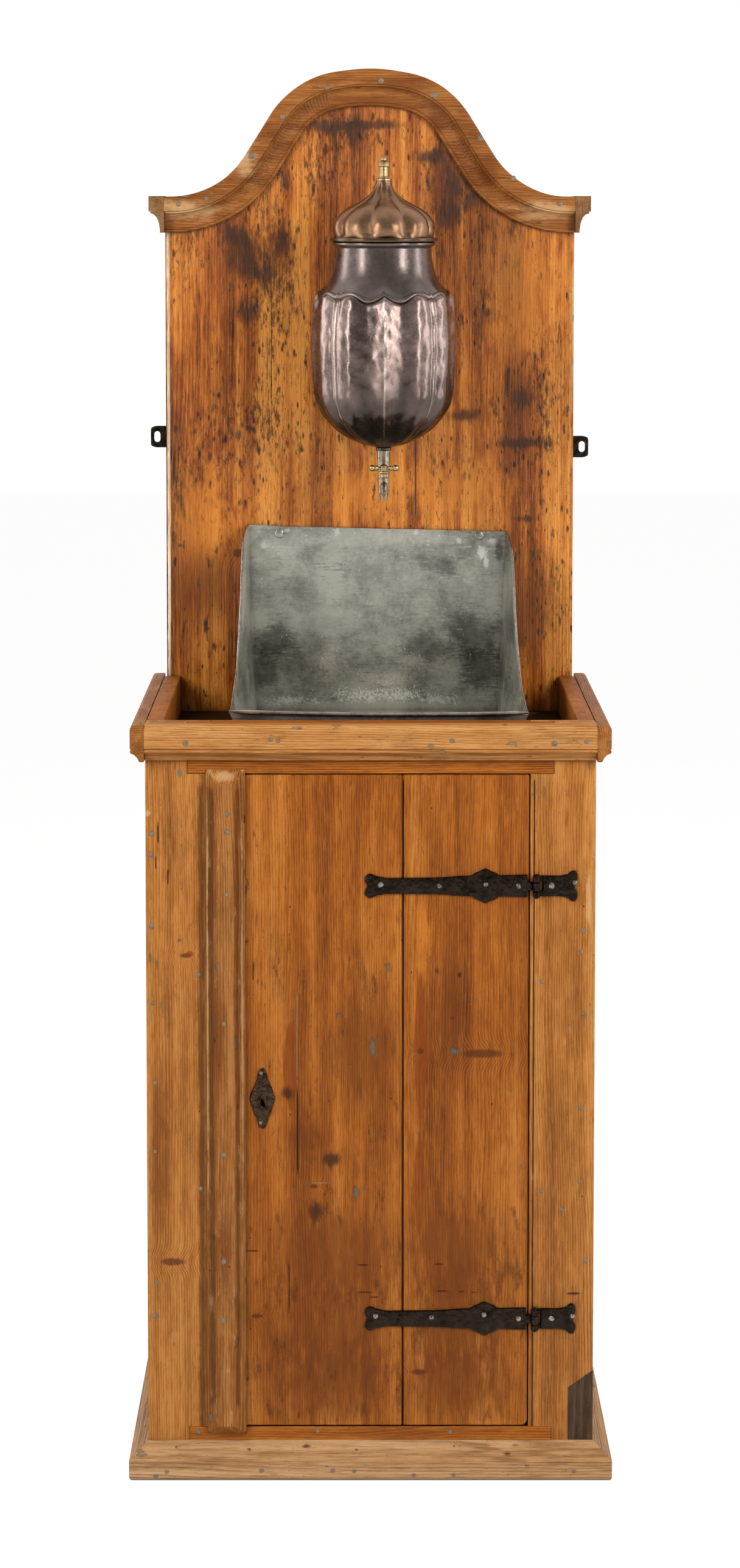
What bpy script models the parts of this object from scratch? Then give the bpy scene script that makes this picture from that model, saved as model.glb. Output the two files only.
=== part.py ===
"""Pine washstand with a fluted copper cistern, a sheet-metal basin and a one-door cabinet.

Metres, +Z up, front towards -Y. The origin is on the floor, in the middle of the plinth's outline.
"""
import math

import bmesh
import bpy
from mathutils import Matrix, Vector

# Carcass boards
CABINET_WIDTH = 0.592
BODY_DEPTH = 0.355
RIM_Z = 1.011
SIDE_T = 0.024
FRAME_T = 0.022
BACK_T = 0.024
BACK_INSET = 0.004
FLOOR_T = 0.020
SHELF_T = 0.018
SHELF_Z = 0.540
SHELF_SETBACK = 0.075
TRAY_FLOOR_Z = 0.960
HOUSING_DEPTH = 0.008
CLEAT_W = 0.020
CLEAT_H = 0.025
EASE = 0.0015
SEAT = 0.0003

# Door opening and door
STILE_WIDTH = 0.086
OPENING_BOTTOM = 0.064
OPENING_TOP = 0.944
RAIL_LAP = 0.031
DOOR_GAP = 0.0015
FREE_EDGE_GAP = 0.003
LEFT_BOARD_WIDTH = 0.249
WORN_CORNER_R = 0.008
BATTEN_H = 0.060
BATTEN_T = 0.018
BATTEN_INSET = 0.020

# Cover strip on the free edge of the door
STRIP_OVERLAP_SIDE = 0.006
STRIP_WIDTH = 0.051
STRIP_T = 0.018
STRIP_FIELD = 0.0225
STRIP_FILLET = 0.0055
STRIP_FILLET_T = 0.007
STRIP_OVERLAP_TOP = 0.0055
STRIP_OVERLAP_BOTTOM = 0.0095

# Hinges
HINGE_UPPER_Z = 0.795
HINGE_LOWER_Z = 0.212
HINGE_OFFSET = 0.008
HINGE_PLATE_T = 0.0025
KNUCKLE_R = 0.005
PIN_R = 0.002
PIN_HEAD_R = 0.0036
PIN_HEAD_H = 0.002
TONGUE_H = 0.0116
KNUCKLE_H = 0.0075
ROLL_OVERHANG = 0.0004
STRAP_H = 0.023
STRAP_TAPER = 0.001
STRAP_LENGTH = 0.223
STRAP_TAIL_H = 0.037
STRAP_TAIL_LENGTH = 0.030
BOSS_R = 0.0245
BOSS_REACH = 0.0625
LEAF_LENGTH = 0.0595
LEAF_END_H = 0.043

# Lock
KEYHOLE_INSET = 0.064
KEYHOLE_Z = 0.5126
KEYHOLE_EYE_R = 0.0045
KEYHOLE_SLOT_W = 0.0045
KEYHOLE_SLOT_DROP = 0.014
ESCUTCHEON_W = 0.0365
ESCUTCHEON_H = 0.0835
ESCUTCHEON_T = 0.002
ESCUTCHEON_DROP = 0.0024
LOCK_W = 0.093
LOCK_H = 0.095
LOCK_T = 0.018
LOCK_EDGE_INSET = 0.004
LOCK_WALL = 0.003
LOCK_PIN_R = 0.0015
BOLT_RISE = 0.022
BOLT_H = 0.020
BOLT_T = 0.006
BOLT_LENGTH = 0.060
BOLT_CLEARANCE = 0.0003
KEEP_WIDTH = 0.022
KEEP_IRON = 0.003
KEEP_FOOT = 0.014
KEEP_CLEARANCE = 0.0012
KEEP_SETBACK = 0.004

# Plinth
PLINTH_REACH = 0.024
PLINTH_FACE_H = 0.028
PLINTH_BREAK_H = 0.038
PLINTH_BREAK_REACH = 0.011
PLINTH_H = 0.046
PLINTH_ROUND = 0.006

# Repair patch in the right stile
PATCH_WIDTH = 0.033
PATCH_INNER_Z = 0.1176
PATCH_OUTER_Z = 0.141

# Tray mouldings
TRAY_REACH = 0.0185
TRAY_MOULDING_H = 0.048
TRAY_ROUND = 0.006
TRAY_BEAD_H = 0.005
TRAY_COVE_H = 0.011
TRAY_QUIRK = 0.0015

# Crest
CREST_TOP_Z = 1.8816
CREST_RISE_SHARE = 0.3082
CREST_CROWN_SHARE = 0.4932
CREST_SHOULDER_SHARE = 0.2252
CREST_HOLLOW_SHARE = 0.2140
CREST_CROWN_ANGLE = math.radians(11)
CREST_SLOPE = math.radians(58)
CREST_REACH = 0.022
CREST_H = 0.052
CREST_FASCIA_H = 0.022
CREST_QUIRK = 0.0025
CREST_FILLET_H = 0.005
CREST_FILLET_REACH = 0.006
CREST_BOARD_DROP = 0.002

# Iron ears on the back board
EAR_LEFT_Z = 1.3555
EAR_RIGHT_Z = 1.341
EAR_H = 0.031
EAR_REACH = 0.0235
EAR_TAIL = 0.040
EAR_T = 0.003
EAR_SLOT_W = 0.009
EAR_SLOT_H = 0.016

# Basin
BASIN_X = 0.011
BASIN_WALL = 0.002
BASIN_BACK_WIDTH = 0.371
BASIN_FRONT_WIDTH = 0.397
BASIN_FLOOR_WIDTH = 0.350
BASIN_TOP_Z = 1.230
BASIN_RIM_Z = 1.018
BASIN_FRONT_SETBACK = 0.0336
BASIN_FRONT_LEAN = 0.018
BASIN_WING_FLARE = 0.004
BASIN_WING_SWEEP = 0.35
BASIN_FOLD_R = 0.012
BASIN_ROLL_R = 0.003
WING_STATIONS = 9

# Cistern
CISTERN_X = 0.019
CISTERN_REACH = 0.112
CISTERN_R = 0.097
CISTERN_WALL = 0.002
MOUTH_Z = 1.6385
MOUTH_R = 0.0661
MOUTH_RING_R = 0.003
SHOULDER_Z = 1.5595
NECK_PULL_Z = 1.590
SHOULDER_R = 0.088
BEAD_R = 0.0038
BOWL_Z = 1.433
TIP_Z = 1.3475
TIP_R = 0.0113
TIP_H = 0.004
DRAIN_R = 0.004
BOWL_POWER = 1.75
FLUTE_DEPTH = 0.0024
SCALLOP_H = 0.0045
FLUTE_GROOVE = -0.4
FLUTE_SECTOR = math.pi / 4
FLUTE_STEPS = 48
SCALLOP_FADE_UP = 0.030
SCALLOP_FADE_DOWN = 0.045
LUG_Z = 1.605
LUG_W = 0.024
LUG_T = 0.004
LUG_HOLE_R = 0.0042
HOOK_R = 0.0035
HOOK_REACH = 0.022
HOOK_BEND_R = 0.007
HOOK_RISE = 0.020
HOOK_SPIKE = 0.015
REST_Z = 1.470
REST_WIDTH = 0.050
REST_H = 0.040

# Lid
LID_CREASES = 8
LID_STEPS = 48
LID_CREASE_DEPTH = 0.0035
LID_WALL = 0.0018
LID_TOP_Z = 1.7228
LID_TOP_R = 0.0108
LID_WAIST_Z = 1.687
LID_WAIST_R = 0.046
LID_FOOT_R = 0.0685
LID_FLANGE_R = 0.0753
LID_FLANGE_T = 0.0047
LID_SKIRT_CLEARANCE = 0.0007
LID_SKIRT_H = 0.013
LID_STUD_R = 0.0036
LID_STUD_H = 0.007
FINIAL_H = 0.034
FINIAL_FOOT_R = 0.0112

# Tap
TAP_REACH = 0.034
TAP_PIPE_TOP_R = 0.0092
TAP_PIPE_FOOT_R = 0.0062
TAP_PIPE_H = 0.065
TAP_BARREL_Z = 1.3035
TAP_BARREL_R = 0.0062
TAP_HOUSING_R = 0.0075
TAP_HOUSING_TOP = 1.312
TAP_HOUSING_FOOT = 1.2925
TAP_SPOUT_R = 0.0052
TAP_SPOUT_BORE_R = 0.0034
TAP_SPOUT_REACH = 0.013
TAP_SPOUT_FOOT = 1.284
TAP_SPOUT_BORE_H = 0.008
PLUG_R = 0.004
PLUG_FLANGE_R = 0.0065
PLUG_HEAD_R = 0.0052
HANDLE_Z = 1.3262
HANDLE_LENGTH = 0.041
HANDLE_R = 0.0021
HANDLE_BALL_R = 0.0045
FIT = 0.0003

# Places that follow from the sizes
REAR_Y = (PLINTH_REACH + BODY_DEPTH + BACK_T) / 2
BACK_Y = REAR_Y - BACK_T
FRONT_Y = BACK_Y - BODY_DEPTH
FRAME_BACK_Y = FRONT_Y + FRAME_T
HALF_WIDTH = CABINET_WIDTH / 2
BACK_WIDTH = CABINET_WIDTH - 2 * BACK_INSET
CREST_RISE = BACK_WIDTH * CREST_RISE_SHARE
CREST_CROWN_R = BACK_WIDTH * CREST_CROWN_SHARE
CREST_SHOULDER_R = BACK_WIDTH * CREST_SHOULDER_SHARE
CREST_HOLLOW_R = BACK_WIDTH * CREST_HOLLOW_SHARE
SIDE_INNER_X = HALF_WIDTH - SIDE_T
OPENING_X = HALF_WIDTH - STILE_WIDTH
DOOR_FREE_X = FREE_EDGE_GAP - OPENING_X
BOARD_JOINT_X = DOOR_FREE_X + LEFT_BOARD_WIDTH
STRIP_LEFT_X = -OPENING_X - STRIP_OVERLAP_SIDE
KEYHOLE_X = DOOR_FREE_X + KEYHOLE_INSET
DOOR_HINGE_X = OPENING_X - DOOR_GAP
DOOR_BOTTOM = OPENING_BOTTOM + DOOR_GAP
DOOR_TOP = OPENING_TOP - DOOR_GAP
HINGE_X = OPENING_X + HINGE_OFFSET
HINGE_Y = FRONT_Y - 2 * SEAT - KNUCKLE_R
BOLT_Z = KEYHOLE_Z + BOLT_RISE
CISTERN_Y = BACK_Y - CISTERN_REACH
TAP_Y = CISTERN_Y - TAP_REACH
SMOOTH_ANGLE = math.radians(35)

FINISHES = {
    "pine": ((0.42, 0.19, 0.055), 0.55, 0.0),
    "dark_pine": ((0.13, 0.07, 0.03), 0.6, 0.0),
    "worn_pine": ((0.50, 0.29, 0.12), 0.65, 0.0),
    "iron": ((0.035, 0.030, 0.027), 0.55, 0.8),
    "copper": ((0.30, 0.20, 0.16), 0.32, 1.0),
    "tin": ((0.55, 0.53, 0.50), 0.40, 0.9),
    "brass": ((0.62, 0.44, 0.18), 0.28, 1.0),
}

for leftover in list(bpy.data.objects):
    bpy.data.objects.remove(leftover, do_unlink=True)

PARTS = bpy.data.collections.new("washstand")
CUTTERS = bpy.data.collections.new("washstand_cutters")
bpy.context.scene.collection.children.link(PARTS)
bpy.context.scene.collection.children.link(CUTTERS)


def finish_material(name, finish):
    """A Principled material for one piece."""
    colour, roughness, metallic = FINISHES[finish]
    material = bpy.data.materials.new(name + "_" + finish)
    material.use_nodes = True
    shader = material.node_tree.nodes["Principled BSDF"]
    shader.inputs["Base Color"].default_value = (*colour, 1.0)
    shader.inputs["Roughness"].default_value = roughness
    shader.inputs["Metallic"].default_value = metallic
    return material


def add_piece(mesh, name, finish, at=(0, 0, 0), parent=None, turn=(0, 0, 0)):
    """Make a mesh a named piece, placed in the world and carried by its parent."""
    mesh.name = name
    piece = bpy.data.objects.new(name, mesh)
    PARTS.objects.link(piece)
    carried_from = parent.location if parent else Vector()
    piece.parent = parent
    piece.location = Vector(at) - carried_from
    piece.rotation_euler = turn
    mesh.materials.append(finish_material(name, finish))
    return piece


def add_cutter(mesh, name, at=(0, 0, 0), turn=(0, 0, 0)):
    """Make a mesh a hidden tool for cuts and unions."""
    cutter = bpy.data.objects.new(name, mesh)
    CUTTERS.objects.link(cutter)
    cutter.location = at
    cutter.rotation_euler = turn
    cutter.hide_render = True
    cutter.display_type = "WIRE"
    return cutter


def pivot(name, at):
    """An empty on a joint's axis, which carries the pieces of a moving body."""
    empty = bpy.data.objects.new(name, None)
    PARTS.objects.link(empty)
    empty.location = at
    return empty


def combine(piece, tool, operation="DIFFERENCE"):
    step = piece.modifiers.new(tool.name, "BOOLEAN")
    step.operation = operation
    step.object = tool
    step.solver = "EXACT"


def ease_edges(piece, width=EASE, segments=1):
    step = piece.modifiers.new("eased_edges", "BEVEL")
    step.width = width
    step.segments = segments
    step.limit_method = "ANGLE"


def finish_bmesh(bm, name):
    mesh = bpy.data.meshes.new(name)
    bmesh.ops.recalc_face_normals(bm, faces=bm.faces)
    bm.to_mesh(mesh)
    bm.free()
    return mesh


def box_mesh(name, size):
    bm = bmesh.new()
    bmesh.ops.create_cube(bm, size=1.0, matrix=Matrix.Diagonal((*size, 1.0)))
    return finish_bmesh(bm, name)


def span(low, high):
    """The centre and the size of a box between two corners."""
    low = Vector(low)
    high = Vector(high)
    return (low + high) / 2, high - low


def board(name, low, high, finish="pine", parent=None, ease=EASE):
    """A sawn board between two corners, with its edges eased."""
    centre, size = span(low, high)
    piece = add_piece(box_mesh(name, size), name, finish, centre, parent)
    ease_edges(piece, ease)
    return piece


def box_cutter(name, low, high):
    centre, size = span(low, high)
    return add_cutter(box_mesh(name, size), name, centre)


def rod_mesh(name, radius, length, sides=20, end_radius=None):
    bm = bmesh.new()
    top = radius if end_radius is None else end_radius
    bmesh.ops.create_cone(bm, cap_ends=True, segments=sides, radius1=radius, radius2=top, depth=length)
    mesh = finish_bmesh(bm, name)
    soften(mesh)
    return mesh


def soften(mesh):
    mesh.shade_smooth()
    mesh.set_sharp_from_angle(angle=SMOOTH_ANGLE)


def solid_from(source, name):
    """The welded mesh of a curve or of an object with modifiers, whose source is removed."""
    bpy.context.view_layer.update()
    evaluated = source.evaluated_get(bpy.context.evaluated_depsgraph_get())
    mesh = bpy.data.meshes.new_from_object(evaluated)
    bpy.data.objects.remove(source, do_unlink=True)
    bm = bmesh.new()
    bm.from_mesh(mesh)
    bmesh.ops.remove_doubles(bm, verts=bm.verts, dist=1e-6)
    bpy.data.meshes.remove(mesh)
    return finish_bmesh(bm, name)


def curve_object(name, dimensions):
    curve = bpy.data.curves.new(name, "CURVE")
    curve.dimensions = dimensions
    holder = bpy.data.objects.new(name + "_curve", curve)
    CUTTERS.objects.link(holder)
    return holder


def add_spline(curve, points, closed):
    spline = curve.splines.new("POLY")
    spline.points.add(len(points) - 1)
    for knot, point in zip(spline.points, points):
        knot.co = (*point, 0.0, 1.0) if len(point) == 2 else (*point, 1.0)
    spline.use_cyclic_u = closed


def plate_mesh(name, outline, thickness, hole=None):
    """A flat plate in the local XY plane, from an outline and perhaps one hole."""
    holder = curve_object(name, "2D")
    holder.data.fill_mode = "BOTH"
    holder.data.extrude = thickness / 2
    add_spline(holder.data, outline, True)
    if hole:
        add_spline(holder.data, hole, True)
    return solid_from(holder, name)


def tube_mesh(name, points, radius, resolution=3):
    holder = curve_object(name, "3D")
    holder.data.bevel_depth = radius
    holder.data.bevel_resolution = resolution
    holder.data.use_fill_caps = True
    add_spline(holder.data, points, False)
    mesh = solid_from(holder, name)
    soften(mesh)
    return mesh


def prism_mesh(name, outline, axis, start, end, start_slant=0.0, end_slant=0.0, slant_from=0.0):
    """An outline drawn out along an axis.

    A slanted end runs on by the slant for each metre that a point's first coordinate lies
    away from slant_from, which makes the mitre of a moulding.
    """
    along = "XYZ".index(axis)
    bm = bmesh.new()
    near = []
    for first, second in outline:
        spot = [first, second]
        spot.insert(along, start + start_slant * abs(first - slant_from))
        near.append(bm.verts.new(spot))
    face = bm.faces.new(near)
    drawn = bmesh.ops.extrude_face_region(bm, geom=[face])
    first_axis = 1 if along == 0 else 0
    for item in drawn["geom"]:
        if isinstance(item, bmesh.types.BMVert):
            item.co[along] = end + end_slant * abs(item.co[first_axis] - slant_from)
    return finish_bmesh(bm, name)


def turned_mesh(name, profile, steps, closed=False):
    """A profile of (radius, height) turned about Z by a Screw modifier."""
    mesh = bpy.data.meshes.new(name)
    corners = [(radius, 0.0, height) for radius, height in profile]
    edges = [(index, index + 1) for index in range(len(profile) - 1)]
    if closed:
        edges.append((len(profile) - 1, 0))
    mesh.from_pydata(corners, edges, [])
    holder = bpy.data.objects.new(name + "_profile", mesh)
    CUTTERS.objects.link(holder)
    screw = holder.modifiers.new("turn", "SCREW")
    screw.axis = "Z"
    screw.angle = 2 * math.pi
    screw.steps = steps
    screw.render_steps = steps
    screw.use_merge_vertices = True
    screw.merge_threshold = 1e-6
    solid = solid_from(holder, name)
    soften(solid)
    return solid


def arc(centre, radius, start, end, steps, stretch=1.0):
    """Points on an arc in degrees; stretch widens or narrows its second axis."""
    points = []
    for index in range(steps + 1):
        angle = math.radians(start + (end - start) * index / steps)
        across = centre[0] + radius * math.cos(angle)
        points.append((across, centre[1] + radius * stretch * math.sin(angle)))
    return points


def bezier(corners, steps, skip_first=False):
    """Points on a Bezier curve with any number of control points."""
    degree = len(corners) - 1
    points = []
    for index in range(1 if skip_first else 0, steps + 1):
        t = index / steps
        weights = [math.comb(degree, k) * t ** k * (1 - t) ** (degree - k) for k in range(degree + 1)]
        first = sum(w * corner[0] for w, corner in zip(weights, corners))
        second = sum(w * corner[1] for w, corner in zip(weights, corners))
        points.append((first, second))
    return points


def mirrored(half):
    """A closed outline from its upper half, mirrored in the first axis."""
    return half + [(first, -second) for first, second in reversed(half) if abs(second) > 1e-9]


def smooth(value):
    value = min(1.0, max(0.0, value))
    return value * value * (3 - 2 * value)


STANDING = (math.pi / 2, 0, 0)


# Carcass: sides, back, floor, shelf and tray floor
def make_sides():
    floor_groove = box_cutter(
        "floor_housing",
        (-SIDE_INNER_X - HOUSING_DEPTH, FRAME_BACK_Y - FRAME_T, OPENING_BOTTOM - FLOOR_T - SEAT),
        (SIDE_INNER_X + HOUSING_DEPTH, BACK_Y + BACK_T / 2, OPENING_BOTTOM + SEAT),
    )
    for name, sign in (("left", -1), ("right", 1)):
        edges = sorted((sign * SIDE_INNER_X, sign * HALF_WIDTH))
        side = board(
            "side_board_" + name,
            (edges[0], FRAME_BACK_Y + SEAT, 0.0),
            (edges[1], BACK_Y - SEAT, RIM_Z),
        )
        combine(side, floor_groove)


def make_floors():
    inner_y = (FRAME_BACK_Y + SEAT, BACK_Y - SEAT)
    reach = SIDE_INNER_X + HOUSING_DEPTH - SEAT
    board(
        "cabinet_floor",
        (-reach, inner_y[0], OPENING_BOTTOM - FLOOR_T),
        (reach, inner_y[1], OPENING_BOTTOM),
    )
    reach = SIDE_INNER_X - SEAT
    board("shelf", (-reach, FRONT_Y + SHELF_SETBACK, SHELF_Z - SHELF_T), (reach, inner_y[1], SHELF_Z))
    board("tray_floor", (-reach, inner_y[0], TRAY_FLOOR_Z - FLOOR_T), (reach, inner_y[1], TRAY_FLOOR_Z))
    supports = (
        ("shelf_cleat_", SHELF_Z - SHELF_T - SEAT, FRONT_Y + SHELF_SETBACK),
        ("tray_cleat_", TRAY_FLOOR_Z - FLOOR_T - SEAT, inner_y[0]),
    )
    for prefix, top, front in supports:
        for name, sign in (("left", -1), ("right", 1)):
            edges = sorted((sign * reach, sign * (reach - CLEAT_W)))
            board(prefix + name, (edges[0], front, top - CLEAT_H), (edges[1], inner_y[1], top))


def crest_half(inset=0.0):
    """The right half of the crest's line, from its crown outwards, moved in by an inset."""
    crown = CREST_TOP_Z - CREST_CROWN_R
    points = []
    for index in range(4):
        angle = CREST_CROWN_ANGLE * index / 3
        radius = CREST_CROWN_R - inset
        points.append((radius * math.sin(angle), crown + radius * math.cos(angle)))
    centre = Vector((math.sin(CREST_CROWN_ANGLE), math.cos(CREST_CROWN_ANGLE)))
    centre = Vector((0, crown)) + centre * (CREST_CROWN_R - CREST_SHOULDER_R)
    for index in range(1, 8):
        angle = CREST_CROWN_ANGLE + (CREST_SLOPE - CREST_CROWN_ANGLE) * index / 7
        radius = CREST_SHOULDER_R - inset
        points.append((centre.x + radius * math.sin(angle), centre.y + radius * math.cos(angle)))
    drop = CREST_CROWN_R * (1 - math.cos(CREST_CROWN_ANGLE))
    drop += CREST_SHOULDER_R * (math.cos(CREST_CROWN_ANGLE) - math.cos(CREST_SLOPE))
    drop += CREST_HOLLOW_R * (1 - math.cos(CREST_SLOPE))
    straight = (CREST_RISE - drop) / math.sin(CREST_SLOPE)
    slope = Vector((math.cos(CREST_SLOPE), -math.sin(CREST_SLOPE)))
    outward = Vector((math.sin(CREST_SLOPE), math.cos(CREST_SLOPE)))
    centre = centre + outward * (CREST_SHOULDER_R + CREST_HOLLOW_R) + slope * straight
    for index in range(8):
        angle = CREST_SLOPE * (1 - index / 7)
        radius = CREST_HOLLOW_R + inset
        points.append((centre.x - radius * math.sin(angle), centre.y - radius * math.cos(angle)))
    points.append((BACK_WIDTH / 2, points[-1][1]))
    return points


def crest_line(inset=0.0):
    half = crest_half(inset)
    return [(-across, up) for across, up in reversed(half[1:])] + half


def crest_profile():
    """Distance below the crest's line, and reach in front of the back board."""
    cove = bezier(
        [
            (CREST_FASCIA_H + CREST_QUIRK, CREST_REACH - CREST_QUIRK),
            (CREST_FASCIA_H + CREST_QUIRK + 0.001, CREST_FILLET_REACH + 0.002),
            (CREST_H - CREST_FILLET_H, CREST_FILLET_REACH),
        ],
        4,
    )
    profile = [(0.0, SEAT), (0.0, CREST_REACH), (CREST_FASCIA_H, CREST_REACH)]
    profile += [(CREST_FASCIA_H, CREST_REACH - CREST_QUIRK)] + cove
    return profile + [(CREST_H, CREST_FILLET_REACH), (CREST_H, SEAT)]


def make_back():
    outline = [(-BACK_WIDTH / 2, 0.0)] + crest_line(CREST_BOARD_DROP) + [(BACK_WIDTH / 2, 0.0)]
    mesh = plate_mesh("back_board", outline, BACK_T)
    back = add_piece(mesh, "back_board", "pine", (0, BACK_Y + BACK_T / 2, 0), turn=STANDING)
    for name, sign, centre in (("left", -1, EAR_LEFT_Z), ("right", 1, EAR_RIGHT_Z)):
        edges = sorted((sign * (BACK_WIDTH / 2 + EAR_REACH), sign * (BACK_WIDTH / 2 - EAR_TAIL - SEAT)))
        recess = box_cutter(
            "ear_recess_" + name,
            (edges[0], REAR_Y - EAR_T - 2 * SEAT, centre - EAR_H / 2 - SEAT),
            (edges[1], REAR_Y + EAR_T, centre + EAR_H / 2 + SEAT),
        )
        combine(back, recess)
        make_ear(name, sign, centre)
    bore = rod_mesh("hook_bore", HOOK_R + FIT, 2 * HOOK_SPIKE + 2 * FIT, 12)
    combine(back, add_cutter(bore, "hook_bore", (CISTERN_X, BACK_Y, LUG_Z - HOOK_BEND_R), STANDING))


def make_ear(name, sign, centre):
    """A flat iron ear, let into the back board, with a slot for a wall nail."""
    corner = EAR_H / 2
    half = [(-EAR_TAIL, corner), (EAR_REACH - corner * 0.6, corner)]
    half += arc((EAR_REACH - corner * 0.6, 0.0), corner, 75, 0, 4, 1.0)
    half = [(min(across, EAR_REACH), up) for across, up in half]
    outline = mirrored(half)
    slot_x = EAR_REACH - corner * 0.6
    slot_side = EAR_SLOT_H / 2 - EAR_SLOT_W / 2
    slot = arc((slot_x, slot_side), EAR_SLOT_W / 2, 0, 180, 6)
    slot += arc((slot_x, -slot_side), EAR_SLOT_W / 2, 180, 360, 6)
    outline = [(sign * across, up) for across, up in outline]
    slot = [(sign * across, up) for across, up in slot]
    mesh = plate_mesh("wall_ear_" + name, outline, EAR_T, slot)
    spot = (sign * BACK_WIDTH / 2, REAR_Y - SEAT - EAR_T / 2, centre)
    add_piece(mesh, "wall_ear_" + name, "iron", spot, turn=STANDING)


def make_crest():
    holder = curve_object("crest_moulding", "2D")
    section = curve_object("crest_section", "2D")
    add_spline(section.data, [(depth, reach) for depth, reach in crest_profile()], True)
    holder.data.bevel_mode = "OBJECT"
    holder.data.bevel_object = section
    holder.data.use_fill_caps = True
    add_spline(holder.data, crest_line(), False)
    mesh = solid_from(holder, "crest_moulding")
    bpy.data.objects.remove(section, do_unlink=True)
    add_piece(mesh, "crest_moulding", "worn_pine", (0, BACK_Y, 0), turn=STANDING)
    end_z = CREST_TOP_Z - CREST_RISE
    for name, sign in (("left", -1), ("right", 1)):
        outline = [(sign * (BACK_WIDTH / 2 + reach), end_z - depth) for depth, reach in crest_profile()]
        mesh = prism_mesh("crest_return_" + name, outline, "Y", BACK_Y - CREST_REACH, REAR_Y)
        add_piece(mesh, "crest_return_" + name, "worn_pine")


# Front frame: stiles, rails and the repair patch
def make_frame():
    lap_x = OPENING_X + RAIL_LAP
    middle_y = FRONT_Y + FRAME_T / 2
    rails = (
        ("top_rail", OPENING_TOP, RIM_Z),
        ("bottom_rail", 0.0, OPENING_BOTTOM),
    )
    notches = []
    for name, low, high in rails:
        rail = board(name, (-lap_x, FRONT_Y, low), (lap_x, FRAME_BACK_Y, high), ease=EASE / 2)
        notch_low = low - SEAT if low > 0 else low - FRAME_T
        notch_high = high + SEAT if low == 0 else high + FRAME_T
        for side, sign in (("left", -1), ("right", 1)):
            edges = sorted((sign * (OPENING_X - SEAT), sign * (lap_x + FRAME_T)))
            tongue = box_cutter(
                name + "_lap_" + side,
                (edges[0], middle_y - SEAT / 2, low - FRAME_T),
                (edges[1], FRAME_BACK_Y + FRAME_T, high + FRAME_T),
            )
            combine(rail, tongue)
        notches.append(
            box_cutter(
                name + "_notch",
                (-lap_x - SEAT, FRONT_Y - FRAME_T, notch_low),
                (lap_x + SEAT, middle_y + SEAT / 2, notch_high),
            )
        )
    for side, sign in (("left", -1), ("right", 1)):
        edges = sorted((sign * OPENING_X, sign * HALF_WIDTH))
        low = (edges[0], FRONT_Y, 0.0)
        stile = board("stile_" + side, low, (edges[1], FRAME_BACK_Y, RIM_Z), ease=EASE / 2)
        for notch in notches:
            combine(stile, notch)
        if sign > 0:
            make_patch(stile)


def patch_outline(grow):
    inner_x = HALF_WIDTH - PATCH_WIDTH - grow
    outer_x = HALF_WIDTH + (FRAME_T if grow else 0.0)
    slope = (PATCH_OUTER_Z - PATCH_INNER_Z) / PATCH_WIDTH
    outer_z = PATCH_OUTER_Z + slope * (outer_x - HALF_WIDTH) + grow
    inner_z = PATCH_INNER_Z - slope * grow + grow
    low_z = -FRAME_T if grow else 0.0
    return [(inner_x, low_z), (outer_x, low_z), (outer_x, outer_z), (inner_x, inner_z)]


def make_patch(stile):
    hole = prism_mesh("patch_hole", patch_outline(SEAT), "Y", FRONT_Y - FRAME_T, FRAME_BACK_Y + FRAME_T)
    combine(stile, add_cutter(hole, "patch_hole"))
    mesh = prism_mesh("stile_patch", patch_outline(0.0), "Y", FRONT_Y, FRAME_BACK_Y)
    add_piece(mesh, "stile_patch", "dark_pine")


# Tray mouldings and plinth
def tray_profile():
    """Reach from the board's face, and height."""
    foot = RIM_Z - TRAY_MOULDING_H
    bead_z = foot + TRAY_COVE_H + TRAY_BEAD_H / 2
    profile = [(SEAT, RIM_Z)]
    profile += arc((TRAY_REACH - TRAY_ROUND, RIM_Z - TRAY_ROUND), TRAY_ROUND, 90, 0, 4)
    profile += [(TRAY_REACH, bead_z + TRAY_BEAD_H / 2 + TRAY_QUIRK)]
    profile += [(TRAY_REACH - TRAY_QUIRK, bead_z + TRAY_BEAD_H / 2)]
    profile += arc((TRAY_REACH - TRAY_BEAD_H / 2, bead_z), TRAY_BEAD_H / 2, 60, -60, 4)
    profile += [(TRAY_REACH - TRAY_QUIRK, bead_z - TRAY_BEAD_H / 2)]
    cove_start = (TRAY_REACH - TRAY_QUIRK - 0.001, foot + TRAY_COVE_H)
    cove = bezier([cove_start, (TRAY_REACH / 2, foot + TRAY_COVE_H * 0.8), (TRAY_REACH / 3, foot)], 3)
    return profile + cove + [(SEAT, foot)]


def make_tray_mouldings():
    outline = [(FRONT_Y - reach, height) for reach, height in tray_profile()]
    mesh = prism_mesh("tray_moulding_front", outline, "X", -HALF_WIDTH, HALF_WIDTH)
    add_piece(mesh, "tray_moulding_front", "worn_pine")
    for name, sign in (("left", -1), ("right", 1)):
        outline = [(sign * (HALF_WIDTH + reach), height) for reach, height in tray_profile()]
        mesh = prism_mesh("tray_moulding_" + name, outline, "Y", FRONT_Y - TRAY_REACH, REAR_Y)
        add_piece(mesh, "tray_moulding_" + name, "worn_pine")


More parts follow.
